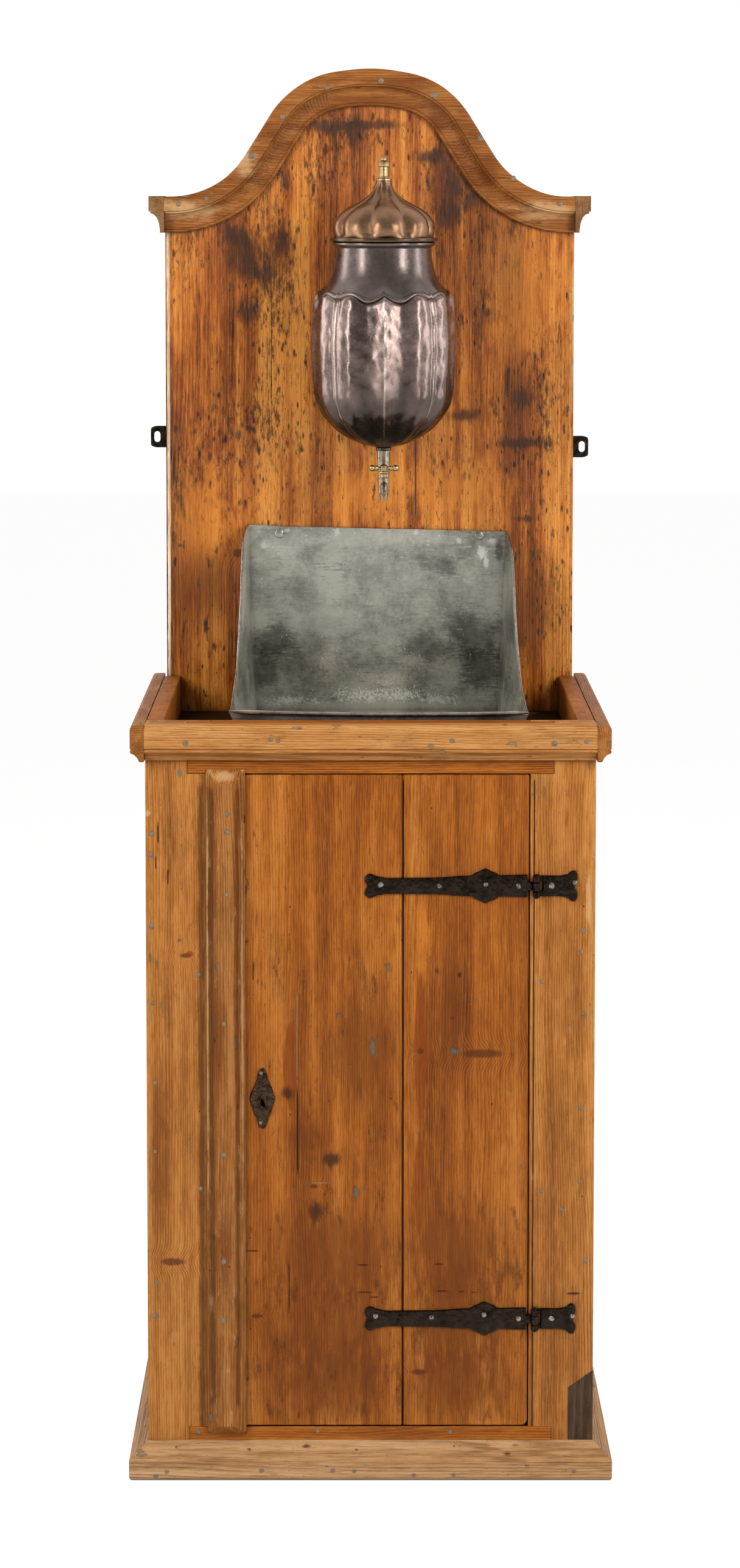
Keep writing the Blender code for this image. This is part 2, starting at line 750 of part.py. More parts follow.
def plinth_profile():
    """Reach from the cabinet's face, and height."""
    profile = [(SEAT, 0.0)]
    profile += arc((PLINTH_REACH - PLINTH_ROUND, PLINTH_ROUND), PLINTH_ROUND, -90, 0, 3)
    profile += [(PLINTH_REACH, PLINTH_FACE_H)]
    slope = [(PLINTH_REACH - 0.002, PLINTH_FACE_H + 0.001)]
    slope += [(PLINTH_REACH * 0.7, PLINTH_BREAK_H - 0.001), (PLINTH_BREAK_REACH, PLINTH_BREAK_H)]
    profile += bezier(slope, 3)
    profile += [(PLINTH_BREAK_REACH - 0.0015, PLINTH_BREAK_H + 0.0025)]
    return profile + [(SEAT, PLINTH_H)]


def make_plinth():
    outline = [(FRONT_Y - reach, height) for reach, height in plinth_profile()]
    mesh = prism_mesh("plinth_front", outline, "X", -HALF_WIDTH, HALF_WIDTH, -1.0, 1.0, FRONT_Y)
    add_piece(mesh, "plinth_front", "worn_pine")
    for name, sign in (("left", -1), ("right", 1)):
        outline = [(sign * (HALF_WIDTH + reach), height) for reach, height in plinth_profile()]
        mesh = prism_mesh(
            "plinth_" + name, outline, "Y", FRONT_Y + 2 * SEAT, REAR_Y, -1.0, 0.0, sign * HALF_WIDTH
        )
        add_piece(mesh, "plinth_" + name, "worn_pine")


# Door: boards, battens, cover strip
def make_door():
    door = pivot("door_pivot", (HINGE_X, HINGE_Y, 0.0))
    left = board(
        "door_board_left",
        (DOOR_FREE_X, FRONT_Y, DOOR_BOTTOM),
        (BOARD_JOINT_X - SEAT / 2, FRAME_BACK_Y, DOOR_TOP),
        parent=door,
    )
    corner = (DOOR_HINGE_X - WORN_CORNER_R, DOOR_BOTTOM + WORN_CORNER_R)
    outline = arc(corner, WORN_CORNER_R, -90, 0, 5)
    outline += [(DOOR_HINGE_X, DOOR_TOP), (BOARD_JOINT_X + SEAT / 2, DOOR_TOP)]
    outline += [(BOARD_JOINT_X + SEAT / 2, DOOR_BOTTOM)]
    mesh = prism_mesh("door_board_right", outline, "Y", -FRAME_T / 2, FRAME_T / 2)
    right = add_piece(mesh, "door_board_right", "pine", (0, FRONT_Y + FRAME_T / 2, 0), door)
    ease_edges(right)
    for name, height in (("upper", HINGE_UPPER_Z), ("lower", HINGE_LOWER_Z)):
        board(
            "door_batten_" + name,
            (DOOR_FREE_X + BATTEN_INSET, FRAME_BACK_Y + SEAT, height - BATTEN_H / 2),
            (DOOR_HINGE_X - BATTEN_INSET, FRAME_BACK_Y + SEAT + BATTEN_T, height + BATTEN_H / 2),
            parent=door,
            ease=0.004,
        )
    make_strip(door)
    make_lock(door, left)
    for name, height in (("upper", HINGE_UPPER_Z), ("lower", HINGE_LOWER_Z)):
        make_hinge(name, height, door)


def strip_profile():
    """Across the strip, and forward from the door's face."""
    field = STRIP_FIELD / 2
    edge = STRIP_WIDTH / 2
    half = [(field, STRIP_T), (field + 0.001, STRIP_T - 0.003)]
    ogee = [(field + 0.001, STRIP_T - 0.003), (field + 0.004, STRIP_T - 0.003)]
    ogee += [(edge - STRIP_FILLET - 0.003, STRIP_FILLET_T + 0.001), (edge - STRIP_FILLET, STRIP_FILLET_T)]
    half += bezier(ogee, 4, True)
    half += [(edge, STRIP_FILLET_T - 0.001), (edge, 0.0)]
    return half + [(-across, forward) for across, forward in reversed(half)]


def make_strip(door):
    bottom = OPENING_BOTTOM - STRIP_OVERLAP_BOTTOM
    top = OPENING_TOP + STRIP_OVERLAP_TOP
    outline = [(across, -forward) for across, forward in strip_profile()]
    mesh = prism_mesh("cover_strip", outline, "Z", bottom, top)
    for vertex in mesh.vertices:
        inward = -vertex.co.y
        vertex.co.z += inward if vertex.co.z < (bottom + top) / 2 else -inward
    spot = (STRIP_LEFT_X + STRIP_WIDTH / 2, FRONT_Y - SEAT, 0.0)
    add_piece(mesh, "cover_strip", "pine", spot, door)


# Hinges
def strap_outline():
    """The strap in front view, from the pin's axis towards the free edge."""
    half_h = STRAP_H / 2
    meet = math.degrees(math.asin(half_h / BOSS_R))
    tongue = TONGUE_H / 2 - ROLL_OVERHANG
    half = [(-KNUCKLE_R / 2, tongue), (-KNUCKLE_R * 2.4, tongue)]
    half += [(-KNUCKLE_R * 2.8, half_h + STRAP_TAPER / 2)]
    half += arc((-BOSS_REACH, 0.0), BOSS_R, meet, 180 - meet, 9)
    neck = half_h - STRAP_TAPER
    flare = [(STRAP_TAIL_LENGTH - STRAP_LENGTH, neck), (STRAP_TAIL_LENGTH / 2 - STRAP_LENGTH, neck)]
    flare += [(0.006 - STRAP_LENGTH, STRAP_TAIL_H / 2)]
    half += bezier(flare, 4)
    half += [(-STRAP_LENGTH, STRAP_TAIL_H / 2 - 0.003), (0.005 - STRAP_LENGTH, 0.0)]
    return mirrored(half)


def leaf_outline():
    """The leaf on the stile in front view, from the pin's axis outwards."""
    inner = TONGUE_H / 2 + 2 * SEAT + ROLL_OVERHANG
    outer = inner + KNUCKLE_H - 2 * ROLL_OVERHANG
    slot = KNUCKLE_R + 0.003
    half = [(slot, 0.0), (slot, inner), (KNUCKLE_R / 2, inner), (KNUCKLE_R / 2, outer), (slot, outer)]
    flare = [(LEAF_LENGTH * 0.45, outer - 0.002), (LEAF_LENGTH * 0.7, outer - 0.001)]
    flare += [(LEAF_LENGTH - 0.006, LEAF_END_H / 2)]
    half += bezier(flare, 4)
    half += [(LEAF_LENGTH - 0.001, LEAF_END_H / 2 - 0.003), (LEAF_LENGTH, LEAF_END_H / 2 - 0.008)]
    return mirrored(half + [(LEAF_LENGTH - 0.010, 0.0)])


def make_hinge(name, height, door):
    plate_y = FRONT_Y - SEAT - HINGE_PLATE_T / 2
    axis = (HINGE_X, HINGE_Y, height)
    inner = TONGUE_H / 2 + 2 * SEAT
    outer = inner + KNUCKLE_H
    bore = add_cutter(rod_mesh("pin_bore", PIN_R + FIT, 4 * outer, 14), "pin_bore_" + name, axis)

    mesh = plate_mesh("strap", strap_outline(), HINGE_PLATE_T)
    strap = add_piece(mesh, "hinge_strap_" + name, "iron", (HINGE_X, plate_y, height), door, STANDING)
    barrel = add_cutter(rod_mesh("tongue_roll", KNUCKLE_R, TONGUE_H), "tongue_roll_" + name, axis)
    combine(strap, barrel, "UNION")
    combine(strap, bore)

    mesh = plate_mesh("leaf", leaf_outline(), HINGE_PLATE_T)
    leaf = add_piece(mesh, "hinge_leaf_" + name, "iron", (HINGE_X, plate_y, height), turn=STANDING)
    for side, sign in (("top", 1), ("foot", -1)):
        spot = (HINGE_X, HINGE_Y, height + sign * (inner + KNUCKLE_H / 2))
        knuckle = rod_mesh("knuckle", KNUCKLE_R, KNUCKLE_H)
        combine(leaf, add_cutter(knuckle, "knuckle_" + name + "_" + side, spot), "UNION")
    combine(leaf, bore)

    head = outer + SEAT
    crown = head + PIN_HEAD_H
    foot = -outer - PIN_HEAD_H
    profile = [(0.0, crown), (PIN_HEAD_R * 0.7, crown), (PIN_HEAD_R, head + PIN_HEAD_H / 2)]
    profile += [(PIN_HEAD_R, head), (PIN_R, head), (PIN_R, foot), (0.0, foot)]
    add_piece(turned_mesh("pin", profile, 14), "hinge_pin_" + name, "iron", axis)


# Lock: escutcheon, case, sliding bolt and keep
def keyhole_outline():
    half_slot = KEYHOLE_SLOT_W / 2
    meet = math.degrees(math.asin(half_slot / KEYHOLE_EYE_R))
    eye = arc((0.0, 0.0), KEYHOLE_EYE_R, -90 + meet, 270 - meet, 12)
    return eye + [(-half_slot + 0.001, -KEYHOLE_SLOT_DROP), (half_slot + 0.001, -KEYHOLE_SLOT_DROP)]


def make_lock(door, left_board):
    plate_y = FRONT_Y - SEAT - ESCUTCHEON_T / 2
    half_w = ESCUTCHEON_W / 2
    half_h = ESCUTCHEON_H / 2
    quarter = [(0.0055, half_h), (0.0065, half_h - 0.008), (half_w - 0.003, 0.010), (half_w, 0.0)]
    right = quarter + [(across, -up) for across, up in reversed(quarter[:-1])]
    outline = right + [(-across, up) for across, up in reversed(right)]
    spot = (KEYHOLE_X, plate_y, KEYHOLE_Z - ESCUTCHEON_DROP)
    mesh = plate_mesh("escutcheon", outline, ESCUTCHEON_T)
    plate = add_piece(mesh, "escutcheon", "iron", spot, door, STANDING)

    case_y = FRAME_BACK_Y + SEAT
    case_low_x = DOOR_FREE_X + LOCK_EDGE_INSET
    case_low_z = KEYHOLE_Z + BOLT_RISE / 2 - LOCK_H / 2
    case = board(
        "lock_case",
        (case_low_x, case_y, case_low_z),
        (case_low_x + LOCK_W, case_y + LOCK_T, case_low_z + LOCK_H),
        "iron",
        door,
    )
    depth = FRAME_T + LOCK_T - LOCK_WALL + 2 * ESCUTCHEON_T
    mesh = plate_mesh("keyhole", keyhole_outline(), depth)
    way = (KEYHOLE_X, FRONT_Y - 2 * ESCUTCHEON_T + depth / 2, KEYHOLE_Z)
    keyhole = add_cutter(mesh, "keyhole", way, STANDING)
    for piece in (plate, left_board, case):
        combine(piece, keyhole)
    pin_length = LOCK_T + FRAME_T / 2
    pin = rod_mesh("lock_pin", LOCK_PIN_R, pin_length, 10)
    pin_y = case_y + LOCK_T - LOCK_WALL / 2 - pin_length / 2
    combine(case, add_cutter(pin, "lock_pin", (KEYHOLE_X, pin_y, KEYHOLE_Z), STANDING), "UNION")

    bolt_y = case_y + LOCK_T / 2
    half_t = BOLT_T / 2 + BOLT_CLEARANCE
    half_h = BOLT_H / 2 + BOLT_CLEARANCE
    channel = box_cutter(
        "bolt_channel",
        (case_low_x - LOCK_WALL, bolt_y - half_t, BOLT_Z - half_h),
        (case_low_x + BOLT_LENGTH + BOLT_CLEARANCE, bolt_y + half_t, BOLT_Z + half_h),
    )
    combine(case, channel)
    board(
        "lock_bolt",
        (case_low_x, bolt_y - BOLT_T / 2, BOLT_Z - BOLT_H / 2),
        (case_low_x + BOLT_LENGTH, bolt_y + BOLT_T / 2, BOLT_Z + BOLT_H / 2),
        "iron",
        door,
        ease=EASE / 3,
    )
    make_keep(bolt_y)


def make_keep(bolt_y):
    """A bent iron staple on the back of the stile, which the thrown bolt runs into."""
    inner = BOLT_H / 2 + KEEP_CLEARANCE
    outer = inner + KEEP_IRON
    base = FRAME_BACK_Y + SEAT
    crown = bolt_y + BOLT_T / 2 + KEEP_CLEARANCE
    half = [(base, inner), (base, outer + KEEP_FOOT), (base + KEEP_IRON, outer + KEEP_FOOT)]
    half += [(base + KEEP_IRON, outer), (crown + KEEP_IRON, outer)]
    lower = [(out, -up) for out, up in reversed(half)]
    inside = [(base, -inner), (crown, -inner), (crown, inner)]
    outline = [(out, BOLT_Z + up) for out, up in half + lower[:-1] + inside]
    right = -OPENING_X - KEEP_SETBACK
    mesh = prism_mesh("lock_keep", outline, "X", right - KEEP_WIDTH, right)
    add_piece(mesh, "lock_keep", "iron")


# Basin: one folded sheet, and the roll along its front edge
def make_basin():
    back_y = BACK_Y - SEAT
    front_y = FRONT_Y + BASIN_FRONT_SETBACK
    floor_z = TRAY_FLOOR_Z + SEAT
    sweep = [(0.0, 1.0), (BASIN_WING_SWEEP, 1.0), (BASIN_WING_SWEEP, 0.0), (1.0, 0.0)]
    bm = bmesh.new()
    rows = []
    for along, rise in bezier(sweep, WING_STATIONS):
        top_z = BASIN_RIM_Z + (BASIN_TOP_Z - BASIN_RIM_Z) * rise
        flare = BASIN_WING_FLARE * rise * smooth(along * 6)
        top_x = (BASIN_BACK_WIDTH + (BASIN_FRONT_WIDTH - BASIN_BACK_WIDTH) * along) / 2 + flare
        top_y = back_y + (front_y - back_y) * along
        floor_y = back_y + (front_y + BASIN_FRONT_LEAN - back_y) * along
        floor_x = BASIN_FLOOR_WIDTH / 2
        spots = [(-top_x, top_y, top_z), (-floor_x, floor_y, floor_z)]
        spots += [(floor_x, floor_y, floor_z), (top_x, top_y, top_z)]
        rows.append([bm.verts.new(spot) for spot in spots])
    for near, far in zip(rows, rows[1:]):
        for index in range(3):
            bm.faces.new((near[index], near[index + 1], far[index + 1], far[index]))
    bm.faces.new(rows[0])
    bm.faces.new(rows[-1])
    basin = add_piece(finish_bmesh(bm, "basin"), "basin", "tin", (BASIN_X, 0, 0))
    ease_edges(basin, BASIN_FOLD_R, 3)
    basin.modifiers["eased_edges"].angle_limit = math.radians(40)
    shell = basin.modifiers.new("sheet", "SOLIDIFY")
    shell.thickness = BASIN_WALL
    shell.offset = -1.0
    roll_y = front_y - BASIN_ROLL_R / 2
    roll_z = BASIN_RIM_Z + math.sqrt((BASIN_ROLL_R + SEAT) ** 2 - (BASIN_ROLL_R / 2) ** 2)
    half = BASIN_FRONT_WIDTH / 2
    line = [(-half, 0.0, 0.0), (half, 0.0, 0.0)]
    roll = tube_mesh("basin_rim", line, BASIN_ROLL_R, 2)
    add_piece(roll, "basin_rim", "tin", (BASIN_X, roll_y, roll_z))


# Cistern
def flute(angle):
    """The wave round the body: 1 on a sharp ridge, -1 in a hollow, 1 on a swell, then a sharp groove."""
    away = abs((angle + FLUTE_SECTOR) % (2 * FLUTE_SECTOR) - FLUTE_SECTOR)
    third = away / FLUTE_SECTOR * 3
    if third < 1:
        return 1 - 2 * math.sin(third * math.pi / 2)
    if third < 2:
        return -math.cos((third - 1) * math.pi)
    return FLUTE_GROOVE + (1 - FLUTE_GROOVE) * math.cos((third - 2) * math.pi / 2)


def bowl(radius, top, foot, steps):
    """A rounded bottom, from its widest point down towards its tip."""
    points = []
    for index in range(steps + 1):
        angle = math.pi / 2 * (1 - index / steps * 0.93)
        across = math.sin(angle) ** (2 / BOWL_POWER)
        up = 1 - math.cos(angle) ** (2 / BOWL_POWER)
        points.append((radius * across, foot + (top - foot) * up))
    return points


def body_profile():
    top = SHOULDER_Z - SEAT
    bead = SHOULDER_R + BEAD_R
    outer = [(SHOULDER_R - 4 * CISTERN_WALL, top), (bead, top), (CISTERN_R - 0.002, top - 0.003)]
    outer += [(CISTERN_R - 0.0007, top - 0.012), (CISTERN_R, top - 0.040)]
    outer += bowl(CISTERN_R, BOWL_Z, TIP_Z + TIP_H, 6)
    outer += [(TIP_R, TIP_Z + TIP_H), (TIP_R, TIP_Z)]
    inner = bowl(CISTERN_R - CISTERN_WALL, BOWL_Z, TIP_Z + TIP_H + CISTERN_WALL, 4)
    inner += [(DRAIN_R, TIP_Z + TIP_H + CISTERN_WALL), (DRAIN_R, TIP_Z)]
    inner = list(reversed(inner))
    under = top - CISTERN_WALL - 0.001
    inner += [(CISTERN_R - CISTERN_WALL - 0.0007, top - 0.012), (bead - CISTERN_WALL, under)]
    return outer + inner + [(SHOULDER_R - 4 * CISTERN_WALL, under)]


def neck_sweep(steps):
    """The hollow line of the neck, from under the mouth ring to the bead on the shoulder."""
    line = [(MOUTH_R, MOUTH_Z - 3 * MOUTH_RING_R), (MOUTH_R + 0.001, NECK_PULL_Z)]
    return bezier(line + [(SHOULDER_R, SHOULDER_Z + 2 * BEAD_R)], steps)


def neck_radius(height):
    """The neck's outer radius at a height."""
    line = neck_sweep(5)
    for (high_r, high), (low_r, low) in zip(line, line[1:]):
        if low <= height <= high:
            return low_r + (high_r - low_r) * (height - low) / (high - low)
    return MOUTH_R


def neck_profile():
    ring_centre = (MOUTH_R + MOUTH_RING_R, MOUTH_Z - MOUTH_RING_R)
    outer = [(MOUTH_R - CISTERN_WALL, MOUTH_Z)] + arc(ring_centre, MOUTH_RING_R, 90, -90, 4)
    outer += neck_sweep(5)
    outer += arc((SHOULDER_R, SHOULDER_Z + BEAD_R), BEAD_R, 60, -90, 3)
    inside = [(radius - CISTERN_WALL, height) for radius, height in reversed(neck_sweep(2))]
    return outer + [(SHOULDER_R - 2 * CISTERN_WALL, SHOULDER_Z)] + inside


def shape_flutes(mesh, deepest):
    """Press the flutes into a turned mesh and draw its shoulder line into scallops."""
    for vertex in mesh.vertices:
        across = math.hypot(vertex.co.x, vertex.co.y)
        wave = flute(math.atan2(vertex.co.x, -vertex.co.y))
        up = vertex.co.z - SHOULDER_Z
        fade = 1 - smooth(up / SCALLOP_FADE_UP if up > 0 else -up / SCALLOP_FADE_DOWN)
        pressed = 1 + deepest * wave / CISTERN_R
        if across > TIP_R * 1.5:
            vertex.co.x *= pressed
            vertex.co.y *= pressed
        vertex.co.z += SCALLOP_H * wave * fade
    soften(mesh)


def make_cistern():
    spot = (CISTERN_X, CISTERN_Y, 0.0)
    mesh = turned_mesh("cistern_body", body_profile(), FLUTE_STEPS, True)
    shape_flutes(mesh, FLUTE_DEPTH)
    add_piece(mesh, "cistern_body", "copper", spot)
    mesh = turned_mesh("cistern_neck", neck_profile(), FLUTE_STEPS, True)
    shape_flutes(mesh, 0.0)
    add_piece(mesh, "cistern_neck", "copper", spot)

    neck_r = neck_radius(LUG_Z - LUG_T / 2) + FIT
    reach = CISTERN_REACH - HOOK_REACH
    side = math.degrees(math.asin(LUG_W / 2 / neck_r))
    outline = arc((0.0, 0.0), neck_r, 90 - side, 90 + side, 5)
    outline += arc((0.0, reach), LUG_W / 2, 180, 0, 10)
    hole = arc((0.0, reach), LUG_HOLE_R, 0, 330, 11)
    mesh = plate_mesh("cistern_lug", outline, LUG_T, hole)
    add_piece(mesh, "cistern_lug", "copper", (CISTERN_X, CISTERN_Y, LUG_Z))

    hook_z = LUG_Z - HOOK_BEND_R
    bend = arc((BACK_Y - HOOK_REACH + HOOK_BEND_R, LUG_Z), HOOK_BEND_R, 270, 180, 5)
    line = [(0.0, BACK_Y + HOOK_SPIKE, hook_z)] + [(0.0, out, up) for out, up in bend]
    line += [(0.0, BACK_Y - HOOK_REACH, LUG_Z + HOOK_RISE)]
    add_piece(tube_mesh("cistern_hook", line, HOOK_R, 2), "cistern_hook", "iron", (CISTERN_X, 0, 0))

    body_back = CISTERN_Y + CISTERN_R + FLUTE_DEPTH + SEAT
    board(
        "cistern_rest",
        (CISTERN_X - REST_WIDTH / 2, body_back, REST_Z - REST_H / 2),
        (CISTERN_X + REST_WIDTH / 2, BACK_Y - SEAT, REST_Z + REST_H / 2),
    )


# Lid
def lid_curve():
    top = [(LID_TOP_R, LID_TOP_Z), (LID_TOP_R + 0.0012, LID_TOP_Z - 0.0178)]
    top += [(0.024, LID_WAIST_Z + 0.0115), (LID_WAIST_R, LID_WAIST_Z)]
    foot_z = MOUTH_Z + SEAT + LID_FLANGE_T
    swell = [(LID_WAIST_R, LID_WAIST_Z), (LID_WAIST_R + 0.018, LID_WAIST_Z - 0.0095)]
    swell += [(LID_FOOT_R + 0.006, foot_z + 0.0208), (LID_FOOT_R, foot_z)]
    return bezier(top, 4) + bezier(swell, 6, True)


def lid_profile():
    under = MOUTH_Z + SEAT
    skirt_r = MOUTH_R - CISTERN_WALL - LID_SKIRT_CLEARANCE
    hole_r = LID_STUD_R + FIT
    outer = [(hole_r, LID_TOP_Z)] + lid_curve()
    outer += [(LID_FLANGE_R - 0.001, under + LID_FLANGE_T), (LID_FLANGE_R, under + LID_FLANGE_T / 2)]
    outer += [(LID_FLANGE_R - 0.001, under), (skirt_r, under), (skirt_r, under - LID_SKIRT_H)]
    inner = [(skirt_r - LID_WALL, under - LID_SKIRT_H), (skirt_r - LID_WALL, under)]
    for radius, height in list(reversed(lid_curve()))[2::3]:
        inner.append((max(hole_r, radius - LID_WALL), height - LID_WALL))
    return outer + inner + [(hole_r, LID_TOP_Z - 2 * LID_WALL)]


def make_lid():
    lid = pivot("lid_pivot", (CISTERN_X, CISTERN_Y, MOUTH_Z))
    foot_z = MOUTH_Z + SEAT + LID_FLANGE_T
    spot = (CISTERN_X, CISTERN_Y, 0.0)
    mesh = turned_mesh("lid_dome", lid_profile(), LID_STEPS, True)
    for vertex in mesh.vertices:
        angle = math.atan2(vertex.co.x, -vertex.co.y)
        crease = 1 - abs(math.cos(angle * LID_CREASES / 2))
        low = smooth((vertex.co.z - foot_z) / 0.008)
        high = smooth((LID_TOP_Z - vertex.co.z) / 0.030)
        across = math.hypot(vertex.co.x, vertex.co.y)
        pressed = 1 - LID_CREASE_DEPTH * crease * low * high / max(across, LID_TOP_R)
        vertex.co.x *= pressed
        vertex.co.y *= pressed
    soften(mesh)
    add_piece(mesh, "lid_dome", "copper", spot, lid)
    base = LID_TOP_Z + SEAT
    tip = base + FINIAL_H
    profile = [(0.0, tip)] + arc((0.0, tip - 0.0046), 0.0046, 60, -45, 4)
    profile += [(0.0046, tip - 0.0085), (0.0080, tip - 0.0092)]
    profile += [(0.0088, tip - 0.0115), (0.0080, tip - 0.0148)]
    stem = [(0.0060, tip - 0.0160), (0.0072, tip - 0.022), (0.0052, base + 0.006), (0.0075, base + 0.003)]
    profile += bezier(stem, 4)
    profile += [(FINIAL_FOOT_R, base + 0.0018), (FINIAL_FOOT_R, base)]
    profile += [(LID_STUD_R, base), (LID_STUD_R, base - LID_STUD_H), (0.0, base - LID_STUD_H)]
    add_piece(turned_mesh("lid_finial", profile, 18), "lid_finial", "brass", spot, lid)


# Tap
def make_tap():
    pipe_top = TIP_Z - SEAT
    pipe = rod_mesh("tap_pipe", TAP_PIPE_FOOT_R, TAP_PIPE_H, 24, TAP_PIPE_TOP_R)
    body = add_piece(pipe, "tap_body", "brass", (CISTERN_X, CISTERN_Y, pipe_top - TAP_PIPE_H / 2))
    barrel = rod_mesh("tap_barrel", TAP_BARREL_R, TAP_REACH, 20)
    spot = (CISTERN_X, CISTERN_Y - TAP_REACH / 2, TAP_BARREL_Z)
    combine(body, add_cutter(barrel, "tap_barrel", spot, STANDING), "UNION")
    spout_y = TAP_Y - TAP_SPOUT_REACH
    bend_r = TAP_SPOUT_REACH - TAP_HOUSING_R / 2
    bend = arc((spout_y + bend_r, TAP_BARREL_Z - bend_r), bend_r, 90, 180, 6)
    line = [(0.0, TAP_Y, TAP_BARREL_Z)] + [(0.0, out, up) for out, up in bend]
    line += [(0.0, spout_y, TAP_SPOUT_FOOT)]
    spout = tube_mesh("tap_spout", line, TAP_SPOUT_R, 3)
    combine(body, add_cutter(spout, "tap_spout", (CISTERN_X, 0, 0)), "UNION")
    housing_h = TAP_HOUSING_TOP - TAP_HOUSING_FOOT
    housing = rod_mesh("tap_housing", TAP_HOUSING_R, housing_h, 24)
    spot = (CISTERN_X, TAP_Y, TAP_HOUSING_FOOT + housing_h / 2)
    combine(body, add_cutter(housing, "tap_housing", spot), "UNION")
    bore = rod_mesh("plug_bore", PLUG_R + FIT, 2 * housing_h, 20)
    combine(body, add_cutter(bore, "plug_bore", spot))
    mouth = rod_mesh("spout_bore", TAP_SPOUT_BORE_R, 2 * TAP_SPOUT_BORE_H, 16)
    combine(body, add_cutter(mouth, "spout_bore", (CISTERN_X, spout_y, TAP_SPOUT_FOOT)))

    turn = pivot("tap_pivot", (CISTERN_X, TAP_Y, TAP_HOUSING_TOP))
    seat = TAP_HOUSING_TOP + SEAT
    foot = TAP_HOUSING_FOOT - SEAT
    head = HANDLE_Z + PLUG_HEAD_R
    profile = [(0.0, head), (PLUG_HEAD_R * 0.6, head), (PLUG_HEAD_R, head - 0.002)]
    profile += [(PLUG_HEAD_R, HANDLE_Z - 0.0035), (PLUG_FLANGE_R, HANDLE_Z - 0.0045)]
    profile += [(PLUG_FLANGE_R, HANDLE_Z - 0.0065), (PLUG_R, HANDLE_Z - 0.0085), (PLUG_R, seat + 0.002)]
    profile += [(PLUG_FLANGE_R - 0.0005, seat + 0.001), (PLUG_FLANGE_R - 0.0005, seat), (PLUG_R, seat)]
    nut_r = PLUG_FLANGE_R - 0.001
    profile += [(PLUG_R, foot), (nut_r, foot), (nut_r, foot - 0.0025), (0.0, foot - 0.0035)]
    mesh = turned_mesh("tap_plug", profile, 16)
    plug = add_piece(mesh, "tap_plug", "brass", (CISTERN_X, TAP_Y, 0.0), turn)
    across = (0, math.pi / 2, 0)
    eye = rod_mesh("handle_eye", HANDLE_R + FIT, 4 * PLUG_HEAD_R, 14)
    combine(plug, add_cutter(eye, "handle_eye", (CISTERN_X, TAP_Y, HANDLE_Z), across))

    end = HANDLE_LENGTH / 2
    ball = end - HANDLE_BALL_R
    half = [(0.0, end)] + arc((0.0, ball), HANDLE_BALL_R, 55, -50, 5)
    half += [(0.0027, ball - 0.0045), (0.0036, ball - 0.006), (0.0030, ball - 0.008)]
    half += [(HANDLE_R, PLUG_HEAD_R + FIT + 0.001)]
    profile = half + [(radius, -along) for radius, along in reversed(half)]
    mesh = turned_mesh("tap_handle", profile, 12)
    add_piece(mesh, "tap_handle", "brass", (CISTERN_X, TAP_Y, HANDLE_Z), turn, across)


make_sides()
make_floors()
make_back()
make_crest()
make_frame()
make_tray_mouldings()
make_plinth()
make_door()
make_basin()
make_cistern()
make_lid()
make_tap()
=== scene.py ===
# %% [markdown]
# # An old pine washstand
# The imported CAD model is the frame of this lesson. Every board, hinge and pipe is already in its
# place, so this file gives the pieces their finishes and adds what is too small for CAD:
# nail heads, tool marks, dents, seams and wear.

# %% Load the frame
import math
import random

import bmesh
import bpy
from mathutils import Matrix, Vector
from mathutils import noise as hand
from mathutils.bvhtree import BVHTree


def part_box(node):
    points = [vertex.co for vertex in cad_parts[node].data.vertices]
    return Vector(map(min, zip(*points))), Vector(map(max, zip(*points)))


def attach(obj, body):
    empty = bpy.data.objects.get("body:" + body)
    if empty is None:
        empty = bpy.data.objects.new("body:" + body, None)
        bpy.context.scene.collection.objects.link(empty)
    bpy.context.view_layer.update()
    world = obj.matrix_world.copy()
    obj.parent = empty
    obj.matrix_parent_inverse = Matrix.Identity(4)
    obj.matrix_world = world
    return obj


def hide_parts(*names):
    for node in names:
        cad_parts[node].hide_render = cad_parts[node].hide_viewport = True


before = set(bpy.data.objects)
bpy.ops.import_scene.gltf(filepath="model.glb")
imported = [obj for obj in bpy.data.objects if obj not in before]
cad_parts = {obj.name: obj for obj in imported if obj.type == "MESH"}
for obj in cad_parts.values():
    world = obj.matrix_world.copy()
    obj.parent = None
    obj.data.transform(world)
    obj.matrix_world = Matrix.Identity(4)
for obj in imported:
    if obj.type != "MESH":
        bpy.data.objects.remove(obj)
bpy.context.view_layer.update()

# %% [markdown]
# ## The camera
# The picture was taken from a little above the basin, with the camera almost level and its lens
# shifted down, so the upright edges stay nearly parallel. A lens shift does the same here.

# %% Camera
PHOTO_W = 1216
PHOTO_H = 2576
FOCAL_PX = 4401
OPTIC_X = 590
OPTIC_Y = 617
SENSOR = 36.0
TILT = math.radians(3.6)
EYE_X = -0.0152
EYE_AWAY = 3.475
EYE_Z = 1.686
front_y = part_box("stile_left")[0][1]
EYE = Vector((EYE_X, front_y - EYE_AWAY, EYE_Z))

scene = bpy.context.scene
lens = bpy.data.cameras.new("photo_camera")
lens.sensor_fit = "VERTICAL"
lens.sensor_height = SENSOR
lens.lens = FOCAL_PX / PHOTO_H * SENSOR
lens.shift_x = (PHOTO_W / 2 - OPTIC_X) / PHOTO_H
lens.shift_y = (OPTIC_Y - PHOTO_H / 2) / PHOTO_H
camera = bpy.data.objects.new("photo_camera", lens)
scene.collection.objects.link(camera)
camera.location = EYE
camera.rotation_euler = (math.pi / 2 - TILT, 0, 0)
scene.camera = camera
print("lens", round(lens.lens, 2), "mm, shift", round(lens.shift_x, 4), round(lens.shift_y, 4))

# %% [markdown]
# ## Places read off the photograph
# A nail or a knot is easy to point at in the picture. The camera is known, so the pixel gives a
# ray, and the ray meets the surface that carries the mark. That way each nail sits on its board.


